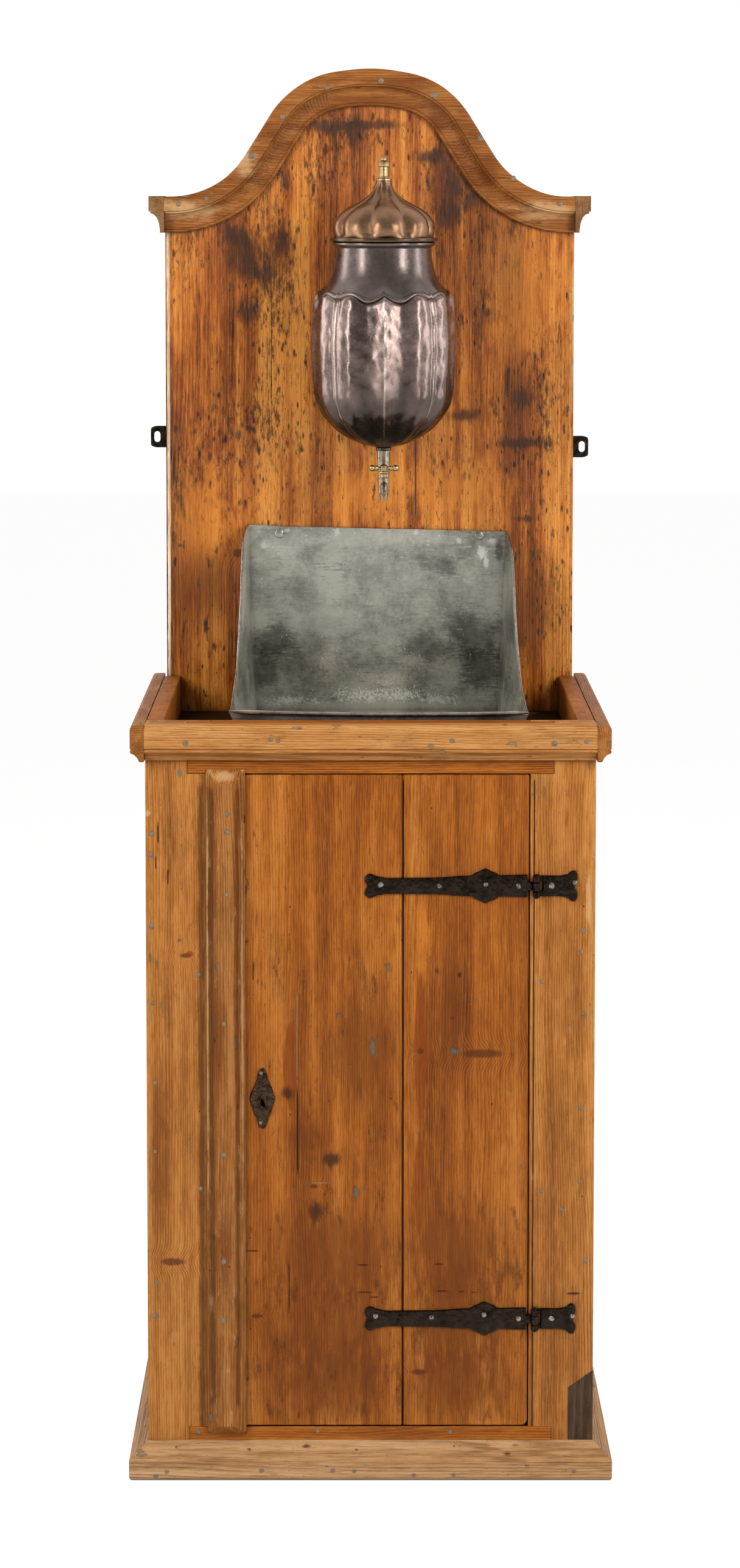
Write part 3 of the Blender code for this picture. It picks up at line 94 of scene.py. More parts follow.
# %% From a pixel to the surface
def pixel_ray(px, py):
    """The way from the eye through a pixel of the photograph."""
    right = (px - OPTIC_X) / FOCAL_PX
    down = (py - OPTIC_Y) / FOCAL_PX
    ahead = math.cos(TILT) - down * math.sin(TILT)
    up = -math.sin(TILT) - down * math.cos(TILT)
    return Vector((right, ahead, up))


def on_face(px, py, y):
    """The point of the upright plane at depth y that the photograph shows at a pixel."""
    ray = pixel_ray(px, py)
    return EYE + ray * ((y - EYE.y) / ray.y)


search_trees = {}


def touch(thing, px, py):
    """Where the ray through a pixel meets an object, and the way out of it there."""
    if thing.name not in search_trees:
        search_trees[thing.name] = BVHTree.FromObject(thing, bpy.context.evaluated_depsgraph_get())
    point, out, _, _ = search_trees[thing.name].ray_cast(EYE, pixel_ray(px, py).normalized())
    return point, out


print("a pixel on the front is", round(1000 * EYE_AWAY / FOCAL_PX, 3), "mm")

# %% [markdown]
# ## Shader arithmetic
# A finish is a formula over the surface. Wrapping a socket in a small class lets the formula be
# written as Python: `1 - mask` adds a Math node and links it.


# %% The socket class
class Sock:
    """One output of a shader node. Arithmetic on it adds Math nodes to its tree."""

    def __init__(self, socket):
        self.socket = socket
        self.tree = socket.id_data

    def node(self, kind, inputs=None, settings=None, out=0):
        """Any other node: its settings first, then the values or links of its sockets."""
        made = self.tree.nodes.new(kind)
        for key, value in (settings or {}).items():
            setattr(made, key, value)
        for key, value in (inputs or {}).items():
            feed(made, key, value)
        return Sock(made.outputs[out])

    def math(self, operation, *values):
        return self.node("ShaderNodeMath", dict(enumerate(values)), {"operation": operation})

    def __add__(self, other):
        return self.math("ADD", self, other)

    def __radd__(self, other):
        return self.math("ADD", other, self)

    def __sub__(self, other):
        return self.math("SUBTRACT", self, other)

    def __rsub__(self, other):
        return self.math("SUBTRACT", other, self)

    def __mul__(self, other):
        return self.math("MULTIPLY", self, other)

    def __truediv__(self, other):
        return self.math("DIVIDE", self, other)

    def __neg__(self):
        return self.math("MULTIPLY", self, -1.0)

    def __lt__(self, other):
        return self.math("LESS_THAN", self, other)

    def __abs__(self):
        return self.math("ABSOLUTE", self)


def feed(node, socket, value):
    """Link a socket's value to a node, or set a plain one."""
    if isinstance(value, Sock):
        value.tree.links.new(value.socket, node.inputs[socket])
    else:
        node.inputs[socket].default_value = value


# %% Small shader words
def parts(vector):
    """The three numbers of a vector."""
    split = vector.node("ShaderNodeSeparateXYZ", {0: vector})
    return [Sock(socket) for socket in split.socket.node.outputs]


def vec(first, second, third):
    """A vector of three numbers, of which one at least is a socket."""
    some = next(item for item in (first, second, third) if isinstance(item, Sock))
    return some.node("ShaderNodeCombineXYZ", {0: first, 1: second, 2: third})


def noise(vector, scale=1.0, detail=2.0, rough=0.5):
    inputs = {"Vector": vector, "Scale": scale, "Detail": detail, "Roughness": rough}
    return vector.node("ShaderNodeTexNoise", inputs)


def strewn(vector, scale):
    """Points strewn over the surface: how far the nearest one is, and two random numbers of its own."""
    near = vector.node("ShaderNodeTexVoronoi", {"Vector": vector, "Scale": scale})
    luck = parts(Sock(near.socket.node.outputs["Color"]))
    return near, luck[0], luck[1]


def ramp(value, low, high, start=0.0, end=1.0):
    """A smooth rise from start to end while the value goes from low to high."""
    inputs = {"Value": value, 1: low, 2: high, 3: start, 4: end}
    return value.node("ShaderNodeMapRange", inputs, {"interpolation_type": "SMOOTHSTEP"})


def spot(first, second):
    """1 where both numbers are 0, falling off smoothly round that."""
    away = first * first + second * second
    return away.math("EXPONENT", -away)


def tint(factor, below, above):
    """Mix two colours, each a socket or three numbers."""
    below, above = [c if isinstance(c, Sock) else (*c, 1.0) for c in (below, above)]
    settings = {"data_type": "RGBA", "clamp_factor": True}
    return factor.node("ShaderNodeMix", {0: factor, 6: below, 7: above}, settings, 2)


def tones(value, *stops):
    """A colour ramp."""
    made = value.node("ShaderNodeValToRGB", {0: value})
    elements = made.socket.node.color_ramp.elements
    while len(elements) < len(stops):
        elements.new(1.0)
    for element, (place, colour) in zip(elements, stops):
        element.position = place
        element.color = (*colour, 1.0)
    return made


def new_finish(name):
    """A fresh Principled material, its shader and the place on the object in metres."""
    material = bpy.data.materials.new(name)
    material.use_nodes = True
    shader = material.node_tree.nodes["Principled BSDF"]
    place = Sock(material.node_tree.nodes.new("ShaderNodeTexCoord").outputs["Object"])
    return material, shader, place


def relief(shader, height, distance):
    """Turn a height into a bump on the shader's normal."""
    feed(shader, "Normal", height.node("ShaderNodeBump", {"Height": height, "Distance": distance}))


def crevice(place, reach):
    """0 in the open, 1 deep in a corner."""
    return 1 - place.node("ShaderNodeAmbientOcclusion", {"Distance": reach}, {"samples": 6}, 1)


# %% [markdown]
# ## Light
# Tall soft boxes stand wide to the left and right, as in a small studio: the bright upright
# lines on the cistern's neck say where. The world is white behind the object, where it is seen and
# mirrored, and dims towards the camera's side, which is the dark of the room.

# %% World
WORLD_LIGHT = 0.30
ROOM_DIM = 0.34
scene.view_settings.view_transform = "Standard"
world = bpy.data.worlds.new("studio")
scene.world = world
world.use_nodes = True
sky = world.node_tree
sky.nodes.clear()
way = Sock(sky.nodes.new("ShaderNodeTexCoord").outputs["Generated"])
rays = way.node("ShaderNodeLightPath").socket.node.outputs
seen = way.node("ShaderNodeBackground", {"Color": (1, 1, 1, 1), "Strength": 1.0})
lit = way.node("ShaderNodeBackground", {"Color": (1.0, 0.985, 0.96, 1), "Strength": WORLD_LIGHT})
room = way.node("ShaderNodeBackground", {"Color": (1, 0.98, 0.96, 1), "Strength": ROOM_DIM})
mirrored = way.node("ShaderNodeMixShader", {0: ramp(parts(way)[1], -0.55, 0.25), 1: room, 2: seen})
by_mirror = way.node("ShaderNodeMixShader", {0: Sock(rays["Is Glossy Ray"]), 1: lit, 2: mirrored})
straight = way.math("MAXIMUM", Sock(rays["Is Camera Ray"]), Sock(rays["Is Transmission Ray"]))
by_eye = way.node("ShaderNodeMixShader", {0: straight, 1: by_mirror, 2: seen})
sky_out = sky.nodes.new("ShaderNodeOutputWorld")
sky.links.new(by_eye.socket, sky_out.inputs[0])


# %% Lamps
def soft_box(name, azimuth, away, height, size, watts, aim_z, mirrored_only=False):
    """A tall rectangular lamp on a stand, at an angle from straight ahead, that looks at the object."""
    lamp = bpy.data.lights.new(name, "AREA")
    lamp.shape = "RECTANGLE"
    lamp.size = size[0]
    lamp.size_y = size[1]
    lamp.energy = watts
    holder = bpy.data.objects.new(name, lamp)
    scene.collection.objects.link(holder)
    turn = math.radians(azimuth)
    holder.location = (away * math.sin(turn), -away * math.cos(turn), height)
    holder.rotation_euler = (Vector((0, 0, aim_z)) - holder.location).to_track_quat("-Z", "Y").to_euler()
    holder.visible_diffuse = not mirrored_only
    holder.visible_glossy = mirrored_only


LAMPS = (
    ("soft_box_{}", (-50, 42), 2.6, 2.30, (0.60, 1.6), 58, 1.45),
    ("side_box_{}", (-102, 84), 2.3, 1.7, (0.30, 1.6), 16, 1.3),
    ("strip_{}", (-55, 48), 2.6, 2.10, (0.26, 1.6), 20, 1.8, True),
    ("strip_{}_foot", (-55, 46), 2.6, 0.95, (0.34, 0.5), 3, 1.1, True),
    ("strip_far_{}", (-104, 90), 2.3, 1.7, (0.30, 2.0), 11, 1.5, True),
)
for lamp_name, azimuths, *setting in LAMPS:
    for lamp_side, lamp_azimuth in zip(("left", "right"), azimuths):
        soft_box(lamp_name.format(lamp_side), lamp_azimuth, *setting)

# %% [markdown]
# ## Marks on the boards
# Knots, stains, chips, cracks and scratches have their own places on the real boards. Some marks are
# painted light and shade instead: glow patches of light on the back board, shade low on the doors,
# shade in the cover strip's grooves and beside it, and highlights on its fillets. Each is given
# by its pixel in the photograph and its half width and half height in pixels. Each kind has a colour,
# a strength and a height. Most are torn spots, with their spread, their tear and the edges of the mask.

# %% Marks
SOFT = (1.0, 2.4, 0.18, 0.95)
FIRM = (1.0, 0.8, 0.30, 0.55)
MARK_KINDS = {
    "knot": ((0.085, 0.022, 0.006), 0.8, -0.6, (1.0, 0.5, 0.30, 0.80)),
    "stain": ((0.022, 0.010, 0.005), 0.8, 0, (0.7, 3.2, 0.50, 1.15)),
    "scar": ((0.120, 0.105, 0.068), 0.75, -1.4, (0.8, 2.4, 0.55, 0.90)),
    # glow is a lighter, warmer patch; on the back board it is painted light, as below the cistern.
    "glow": ((0.60, 0.20, 0.024), 0.55, 0, SOFT),
    # shade is a darker patch; low on the doors it is painted shade.
    "shade": ((0.135, 0.034, 0.005), 0.68, 0, SOFT),
    "soot": ((0.040, 0.015, 0.007), 0.85, 0, SOFT),
    # worn is paler wear; along the cover strip's fillets it is a painted highlight.
    "worn": ((0.56, 0.34, 0.15), 0.7, 0, SOFT),
    "dash": ((0.045, 0.010, 0.004), 0.85, 0, FIRM),
    "nail": ((0.15, 0.13, 0.105), 0.8, 0, FIRM),
    "crack": ((0.010, 0.005, 0.003), 0.95, -3.0, None),
    "scratch": ((0.36, 0.22, 0.10), 0.6, -1.0, None),
    "heart": ((0.19, 0.038, 0.005), 0.65, 0, None),
    # A dark line along a joint; beside the cover strip it is a painted shadow.
    "gap": ((0.008, 0.004, 0.002), 0.95, 0, None),
    # A band of painted shade: in the cover strip's grooves, and the strip's shadow on the stile.
    "groove": ((0.085, 0.026, 0.006), 0.72, 0, None),
}


def mark_mask(kind, first, second, torn):
    """How strongly a mark covers a place; first and second are 1 at its half width and height."""
    if kind in ("crack", "scratch"):
        return ramp(abs(first + torn * 2.0), 1.2, 0.3) * ramp(abs(second) + torn * 2.0, 1.15, 0.75)
    if kind == "heart":
        taper = 1.05 - second * second
        return ramp(abs(first) - taper + torn * 0.3, 0.25, -0.15) * ramp(abs(second), 1.0, 0.9)
    if kind == "groove":
        return ramp(abs(first) + torn * 1.5, 1.2, 0.2) * ramp(abs(second), 1.0, 0.97)
    if kind == "gap":
        return ramp(abs(first), 1.0, 0.7) * ramp(abs(second), 1.0, 0.99)
    spread, tear, low, high = MARK_KINDS[kind][3]
    return ramp(spot(first * spread, second * spread) + torn * tear, low, high)


def mark_places(marks, face, grain, across, along):
    """Each mark's kind and its place across and along the grain, in its own half sizes."""
    placed = []
    pixel = (face - EYE.y) / FOCAL_PX
    x, z = (along, across) if grain == "X" else (across, along)
    for kind, px, py, wide, tall in marks:
        centre = on_face(px, py, face)
        first = (x - centre.x) / (wide * pixel)
        second = (z - centre.z) / (tall * pixel)
        if kind == "scratch" and wide > tall:
            first, second = second, first
        placed.append((kind, first, second))
    return placed


def by_kind(*groups):
    """Marks written down in groups, each with its kind first and then the places."""
    return [(kind, *place) for kind, *places in groups for place in places]


# %% [markdown]
# ## Old pine
# Pine shows its yearly rings as fine lines along the board. On the real boards the lines come from
# circles round the heart of the tree, cut by the saw. The formula does the same: the distance from
# a heart line somewhere beside or behind the board, bent a little, and cut into rings. Streaks,
# fibres, dashes of dirt, small grey chips and worm holes lie on top, then the board's own marks,
# and last a painted shade in the corners and along the joints.

# %% Tones of pine
HONEY = ((0.12, 0.027, 0.003), (0.25, 0.066, 0.007), (0.36, 0.107, 0.012), (0.52, 0.190, 0.035))
LIGHT_HONEY = ((0.17, 0.050, 0.008), (0.32, 0.108, 0.018), (0.44, 0.168, 0.034), (0.58, 0.26, 0.070))
CREST = ((0.13, 0.038, 0.006), (0.22, 0.070, 0.012), (0.31, 0.115, 0.024), (0.45, 0.195, 0.055))
PALE = ((0.20, 0.068, 0.014), (0.34, 0.128, 0.028), (0.45, 0.190, 0.050), (0.58, 0.29, 0.10))
GREY = ((0.18, 0.085, 0.030), (0.32, 0.160, 0.060), (0.43, 0.230, 0.096), (0.56, 0.34, 0.165))
END = ((0.09, 0.036, 0.010), (0.16, 0.072, 0.024), (0.23, 0.112, 0.042), (0.34, 0.185, 0.080))
PALE_WEAR_AND_HIGHLIGHT = ((0.30, 0.14, 0.05), (0.52, 0.32, 0.15), (0.70, 0.52, 0.33), (0.85, 0.75, 0.60))
CROWN = ((0.11, 0.029, 0.004), (0.185, 0.055, 0.009), (0.265, 0.090, 0.017), (0.40, 0.160, 0.040))
BURNT = ((0.045, 0.010, 0.002), (0.22, 0.050, 0.005), (0.41, 0.114, 0.013), (0.68, 0.26, 0.044))
DARK = ((0.030, 0.016, 0.008), (0.060, 0.034, 0.018), (0.085, 0.052, 0.028), (0.13, 0.085, 0.05))
TRAY_RED_AND_SHADE = ((0.010, 0.004, 0.003), (0.018, 0.007, 0.004), (0.030, 0.011, 0.006), (0.05, 0.02, 0.010))
DUST = (0.13, 0.105, 0.070)
CHIP = (0.17, 0.145, 0.095)
WORM_HOLE = (0.012, 0.006, 0.003)
CREVICE_SHADE = (0.026, 0.010, 0.004)
GRAIN_ORDER = {"Z": (0, 1, 2), "X": (2, 1, 0), "Y": (2, 0, 1), "side": (1, 0, 2)}
print("grain runs along", sorted(GRAIN_ORDER))


# %% Pine
def pine(name, grain, tone, heart=(0.5, 0.05), ring=0.0034, seed=0.0, marks=(), face=front_y, lean=0.0,
         lines=0.72, streaks=1.0, clouds=1.0, dashes=0.10, burns=(), flecks=0.09, holes=0.06, dirt=0.5,
         gloss=0.50, shine=0.12, carve=0.0007):
    """One board's finish. The grain runs along an axis; the heart lies across and behind."""
    material, shader, place = new_finish(name)
    xyz = parts(place)
    across, depth, along = [xyz[index] for index in GRAIN_ORDER[grain]]
    placed = mark_places(marks, face, grain, across, along)

    def drawn(wide, long, detail, rough=0.5, shift=seed):
        """Noise that is drawn out along the grain."""
        return noise(vec(across * wide, depth * wide, along * long + shift), 1.0, detail, rough)

    bend = drawn(3.2, 1.76, 2.0, shift=seed * 1.6) - 0.5
    side = across - heart[0] + bend * 0.035 + along * lean
    behind = depth + heart[1] + bend * 0.02
    squared = side * side + behind * behind
    turns = squared.math("SQRT", squared) / ring
    turns = turns + drawn(40.0, 5.0, 2.0) * 0.7 + drawn(9.0, 0.6, 3.0, 0.6) * 9.0
    for kind, first, second in placed:
        if kind == "knot":
            turns = turns + spot(first * 0.45, second * 0.45) * 3.0
    phase = turns.math("FRACT", turns)
    year = turns.math("FLOOR", turns)
    hard = year.node("ShaderNodeTexWhiteNoise", {"W": year}, {"noise_dimensions": "1D"})
    worn = drawn(14.0, 4.0, 4.0, 0.7)
    late = ramp(phase, 0.46, 0.76) * ramp(phase, 1.0, 0.92) * (hard * 0.75 + 0.25)
    late = late * ramp(worn, 0.30, 0.66, 0.15, 1.0)
    early = ramp(phase, 0.0, 0.10) * ramp(phase, 0.46, 0.24) * (1 - hard * 0.6)

    streak = drawn(48.0, 0.8, 5.0, 0.65)
    cloud = drawn(9.0, 1.6, 5.0, 0.62, seed * 2.0)
    blot = drawn(24.0, 8.0, 6.0, 0.72, seed * 3.0)
    fibre = drawn(800.0, 30.0, 3.0, 0.6, 0.0)
    torn = drawn(95.0, 24.0, 6.0, 0.75) - 0.5
    tone_at = (streak - 0.5) * (1.5 * streaks) + (cloud - 0.5) * (1.4 * clouds) + torn + 0.52
    colour = tones(tone_at, (0.0, tone[0]), (0.36, tone[1]), (0.58, tone[2]), (0.92, tone[3]))
    colour = tint(early * (0.60 * lines), colour, tone[3])
    colour = tint(late * lines, colour, tone[0])
    colour = tint(ramp(fibre, 0.52, 0.68) * 0.62, colour, tone[0])
    colour = tint(ramp(fibre, 0.47, 0.32) * 0.42, colour, tone[3])
    soot = tuple(part * 0.28 for part in tone[0])
    colour = tint(ramp(blot + torn * 0.6, 0.50, 0.82) * dirt, colour, soot)
    scuff = noise(vec(along * 700.0, depth * 40.0, across * 34.0 + along * 90.0))
    colour = tint(ramp(scuff, 0.66, 0.74) * ramp(worn, 0.50, 0.62) * 0.40, colour, tone[0])
    speck = ramp(drawn(380.0, 150.0, 3.0, 0.6, 0.0) + (blot - 0.5) * 0.3, 0.66, 0.72)
    colour = tint(speck * 0.65, colour, DUST)

    burnt_here = ramp(cloud + (blot - 0.5) * 0.8, 0.35, 0.75)
    for _, first, second in mark_places([("burn", *burn) for burn in burns], face, grain, across, along):
        burnt_here = burnt_here + spot(first, second) * 1.6
    char = drawn(230.0, 62.0, 5.0, 0.72) + burnt_here * (0.085 * dashes) + (blot - 0.5) * 0.30
    colour = tint(ramp(char, 0.58, 0.76) * min(0.75, dashes * 1.1), colour, soot)
    near, size, luck = strewn(vec(across, depth * 0.3, along * 0.36 + seed), 140.0)
    size = size * 0.36 + 0.06
    dash = ramp(near + torn * 0.7, size, size * 0.25) * (luck < burnt_here * dashes)
    colour = tint(dash * 0.85, colour, soot)
    near, size, luck = strewn(vec(across, depth * 0.3, along * 0.42 + seed * 1.3), 85.0)
    size = size * 0.30
    fleck = ramp(near + torn * 1.2, size, size * 0.6) * (luck < flecks)
    colour = tint(fleck * 0.7, colour, CHIP)
    near, luck, _ = strewn(vec(across, depth, along * 0.8 + seed), 75.0)
    worm = (near < 0.075) * (luck < holes)
    colour = tint(worm * 0.9, colour, WORM_HOLE)

    height = fibre * 0.5 + late * 0.4 + torn * 0.9 - fleck * 1.2 - worm * 2.5 - dash * 0.7 - speck * 0.5
    for kind, first, second in placed:
        mark_colour, strength, rise, _ = MARK_KINDS[kind]
        mask = mark_mask(kind, first, second, torn)
        colour = tint(mask * strength, colour, mark_colour)
        if rise:
            height = height + mask * rise
    # Painted shade: darker in corners, crevices and along joints, where the ambient occlusion is deep.
    corner = ramp(crevice(place, 0.016) + torn * 0.15, 0.15, 0.90)
    feed(shader, "Base Color", tint(corner * 0.85, colour, CREVICE_SHADE))
    feed(shader, "Roughness", cloud * 0.2 + (gloss - 0.10) + fleck * 0.15 + (streak - 0.5) * 0.15)
    feed(shader, "Specular IOR Level", shine)
    relief(shader, height, carve)
    return material


# %% [markdown]
# ## Metals
# The cistern is beaten copper gone dark, the basin is tinned sheet, the hinges are forged iron and
# the tap is brass. A metal's colour is what it mirrors, so the shade lies in the base colour, and
# the finest hammer marks are a bump. The dents that show as dents are in the meshes further down.


# %% Metal
def metal(name, light, dark, rough, mottle=14.0, hammer=0.0, hammer_scale=60.0, film=None, film_at=0.6,
          crease=0.02, shade=None, body=1.0, spread=0.17):
    """A worn metal, between two shades, with hammer marks, perhaps a dull film in patches, and painted shade
    in its creases.
    """
    material, shader, place = new_finish(name)
    blotch = noise(place, mottle, 6.0, 0.65)
    fine = noise(place, mottle * 14.0, 4.0, 0.6)
    colour = tones(blotch * 0.8 + fine * 0.2, (0.49 - spread, dark), (0.49 + spread, light))
    roughness = rough + (blotch - 0.5) * 0.30 + (fine - 0.5) * 0.25
    metallic = body
    if film:
        dull = ramp(noise(place, mottle * 2.3, 6.0, 0.7), film_at, film_at + 0.14)
        colour = tint(dull, colour, film)
        roughness = roughness + dull * 0.35
        metallic = body - dull * 0.8
    if shade:
        colour = shade(place, colour)
    # Painted shade: darker in creases and corners, where the ambient occlusion is deep.
    deep = ramp(crevice(place, crease), 0.25, 0.95)
    colour = tint(deep * 0.8, colour, tuple(part * 0.25 for part in dark))
    feed(shader, "Base Color", colour)
    feed(shader, "Roughness", roughness)
    feed(shader, "Metallic", metallic)
    beaten = noise(place, hammer_scale, 1.0, 0.4)
    relief(shader, beaten * hammer + fine * 0.10, 0.0012)
    return material


# %% Shades of the copper
AXIS = Vector((0.019, 0.0655))
SECTOR = math.pi / 4
FOOT_SHADE_FROM_Z = 1.530
FOOT_SHADE_FULL_Z = 1.360
COPPER_FOOT_SHADE = (0.036, 0.029, 0.024)
HOLLOW_SHADE = (0.026, 0.021, 0.018)
SEAM_HIGHLIGHT = (0.46, 0.38, 0.34)
TIP_GREEN = (0.055, 0.060, 0.040)
FLANGE_GREEN = (0.060, 0.050, 0.032)
LID_RED = (0.17, 0.085, 0.045)


def cistern_shade(place, colour):
    """Painted shade towards the foot and in the hollows, painted highlights along the ridges and seams, green
    at the very tip.
    """
    x, y, z = parts(place)
    runs = noise(vec(x * 70.0, y * 70.0, z * 9.0), 1.0, 4.0, 0.6) - 0.5
    # Painted shade: the copper darkens towards the foot, so that its highlights fade downwards.
    low = ramp(z + runs * 0.05, FOOT_SHADE_FROM_Z, FOOT_SHADE_FULL_Z)
    colour = tint(low * 0.86, colour, COPPER_FOOT_SHADE)
    swing = x.math("ARCTAN2", x - AXIS.x, -(y - AXIS.y)) / (2 * SECTOR) + 0.5
    away = abs(swing.math("FRACT", swing) - 0.5) * 2.0
    # Painted shade in the hollows of the flutes.
    hollow = ramp(abs(away - 0.333), 0.24, 0.02)
    colour = tint(hollow * (low * 0.35 + 0.20), colour, HOLLOW_SHADE)
    # Painted highlights: thin bright lines along the sharp ridges and the raised seams.
    seam = ramp(away, 0.030, 0.008) + ramp(away, 0.970, 0.992)
    colour = tint(seam * 0.40, colour, SEAM_HIGHLIGHT)
    tip = ramp(z + runs * 0.01, 1.366, 1.352)
    return tint(tip * 0.5, colour, TIP_GREEN)


def lid_shade(place, colour):
    """Darker and greener on the flange, redder towards the top."""
    height = parts(place)[2]
    flange = ramp(height, 1.646, 1.641)
    colour = tint(flange * 0.75, colour, FLANGE_GREEN)
    return tint(ramp(height, 1.685, 1.715) * 0.4, colour, LID_RED)


# %% The metals
copper = metal("dark_copper", (0.40, 0.295, 0.258), (0.14, 0.100, 0.088), 0.28, 22.0, 1.0, 60.0,
               shade=cistern_shade)
neck_copper = metal("neck_copper", (0.26, 0.205, 0.185), (0.13, 0.102, 0.092), 0.30, 10.0, 0.3, 45.0)
lid_copper = metal("lid_copper", (0.40, 0.225, 0.130), (0.16, 0.082, 0.046), 0.33, 16.0, 0.6, 75.0,
                   shade=lid_shade)
iron = metal("forged_iron", (0.040, 0.028, 0.020), (0.008, 0.006, 0.004), 0.34, 60.0, 1.6, 160.0,
             film=(0.020, 0.012, 0.008), film_at=0.56)
worn_iron = metal("worn_iron", (0.40, 0.36, 0.31), (0.05, 0.040, 0.032), 0.30, 160.0, 1.0, 300.0, spread=0.10)
plate_iron = metal("plate_iron", (0.090, 0.052, 0.030), (0.018, 0.011, 0.007), 0.28, 110.0, 1.4, 260.0,
                   film=(0.034, 0.019, 0.011), film_at=0.56, spread=0.12)
nail_iron = metal("nail_iron", (0.27, 0.21, 0.145), (0.12, 0.088, 0.060), 0.5, 160.0, 1.0, 300.0,
                  film=(0.16, 0.11, 0.070), film_at=0.55, body=0.3)
brass = metal("brass", (0.62, 0.48, 0.25), (0.28, 0.19, 0.080), 0.34, 60.0, 0.4, 200.0)
pipe_metal = metal("pipe_metal", (0.40, 0.34, 0.25), (0.15, 0.115, 0.075), 0.28, 60.0, 0.4, 200.0)
print("metals ready")

# %% [markdown]
# ## Dress the CAD pieces
# Each board has its own cut of the log, so it gets its own heart line, seed and marks.


# %% Dress
def dress(finish, *nodes):
    for node in nodes:
        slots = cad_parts[node].data.materials
        slots.clear()
        slots.append(finish)


def board(nodes, *cut, **look):
    """Boards that were cut from one log share a finish of pine."""
    dress(pine(*cut, **look), *nodes.split())


dress(neck_copper, "cistern_lug")
dress(brass, "lid_finial", "tap_plug", "tap_handle")
dress(pipe_metal, "tap_body")
iron_nodes = [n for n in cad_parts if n.startswith(("hinge", "wall_ear", "lock", "escutcheon"))]
dress(iron, "cistern_hook", *iron_nodes)

# %% The back board
back_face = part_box("back_board")[0][1]
BACK_BURNS = (
    (395, 400, 45, 35), (430, 470, 35, 80), (462, 395, 20, 30), (530, 260, 60, 50), (590, 215, 90, 25),
    (704, 257, 45, 20), (745, 325, 45, 70), (420, 690, 60, 45), (345, 770, 45, 60), (800, 520, 40, 40),
    (850, 660, 60, 45), (861, 728, 60, 20), (880, 590, 30, 60),
)
BACK_MARKS = by_kind(
    # Painted light: lighter, warmer patches, as below the cistern.
    ("glow", (600, 810, 90, 45), (330, 860, 60, 110), (930, 480, 18, 110), (850, 480, 70, 150),
     (740, 800, 110, 50)),
    ("shade", (330, 960, 60, 70), (860, 1000, 60, 90)),
    ("worn", (944, 560, 7, 170)),
    ("shade", (425, 420, 75, 65), (735, 310, 60, 70), (850, 660, 36, 80)),
    ("soot", (385, 385, 28, 18), (405, 425, 34, 44), (462, 395, 22, 28), (433, 450, 24, 30),
     (408, 511, 26, 24), (704, 257, 34, 12), (743, 305, 24, 40), (738, 353, 24, 30), (772, 328, 20, 24),
     (530, 207, 40, 14), (610, 205, 60, 9), (861, 728, 46, 9), (764, 682, 30, 12), (856, 655, 20, 20)),
    ("stain", (423, 485, 5, 26), (580, 225, 9, 24), (724, 411, 7, 16), (470, 300, 9, 24), (440, 694, 7, 9),
     (414, 706, 6, 8), (454, 686, 5, 9), (392, 714, 5, 10), (353, 668, 5, 6), (353, 690, 4, 10),
     (291, 704, 7, 6), (320, 708, 4, 6), (423, 738, 5, 9), (344, 750, 4, 9), (296, 896, 4, 4),
     (922, 560, 5, 24), (834, 621, 5, 24), (800, 514, 8, 8), (862, 852, 26, 6)),
    ("knot", (392, 909, 11, 9)),
    ("crack", (446, 555, 0.6, 85)),
    ("scratch", (440, 585, 1.0, 35)),
    ("crack", (683, 760, 1.0, 90)),
)
board("back_board cistern_rest", "back_pine", "Z", BURNT, (0.9, 0.10), 0.0046, 3.1, BACK_MARKS, back_face,
      lines=0.25, streaks=1.5, clouds=1.9, dashes=0.9, burns=BACK_BURNS, flecks=0.05, holes=0.12, dirt=0.6,
      gloss=0.30, shine=0.26, carve=0.0013)

# %% The crest and the mouldings
crest_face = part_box("crest_moulding")[0][1]
plinth_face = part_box("plinth_front")[0][1]
CREST_MARKS = by_kind(
    ("knot", (432, 224, 4, 2)),
    ("shade", (600, 165, 80, 16), (660, 140, 60, 14), (545, 185, 30, 14)),
    ("worn", (300, 345, 60, 16), (900, 345, 50, 14), (400, 262, 22, 34)),
    ("shade", (720, 200, 16, 24), (800, 290, 20, 24)),
)
PLINTH_NAILS = ((256, 2425), (274, 2418), (430, 2416), (547, 2416), (582, 2417), (680, 2424), (745, 2423),
                (943, 2418))
PLINTH_MARKS = [("nail", px, py, 4.5, 4) for px, py in PLINTH_NAILS]
crest_pine = pine("crest_pine", "X", CROWN, (1.30, 0.05), 0.0036, 7.7, CREST_MARKS, crest_face, lean=0.03,
                  lines=0.6, gloss=0.36, shine=0.24)
board("crest_return_left crest_return_right", "crest_end", "Y", END, (1.67, 0.3), 0.0022, 1.7, lines=0.8,
      dirt=0.7)
board("tray_moulding_front", "tray_pine", "X", PALE, (1.30, 0.05), 0.0040, 61.0, lean=0.01, dashes=0.3,
      flecks=0.12, dirt=0.6)
board("tray_moulding_left tray_moulding_right", "tray_side_pine", "Y", CREST, (0.95, 0.30), 0.0026, 63.0,
      lines=0.8, dirt=0.7)
board("plinth_front", "plinth_pine", "X", GREY, (-0.25, 0.05), 0.0040, 71.0, PLINTH_MARKS, plinth_face,
      lean=0.01, dashes=0.25, flecks=0.15, dirt=0.6)
board("plinth_left plinth_right", "plinth_side_pine", "Y", GREY, (-0.03, 0.30), 0.0034, 73.0)

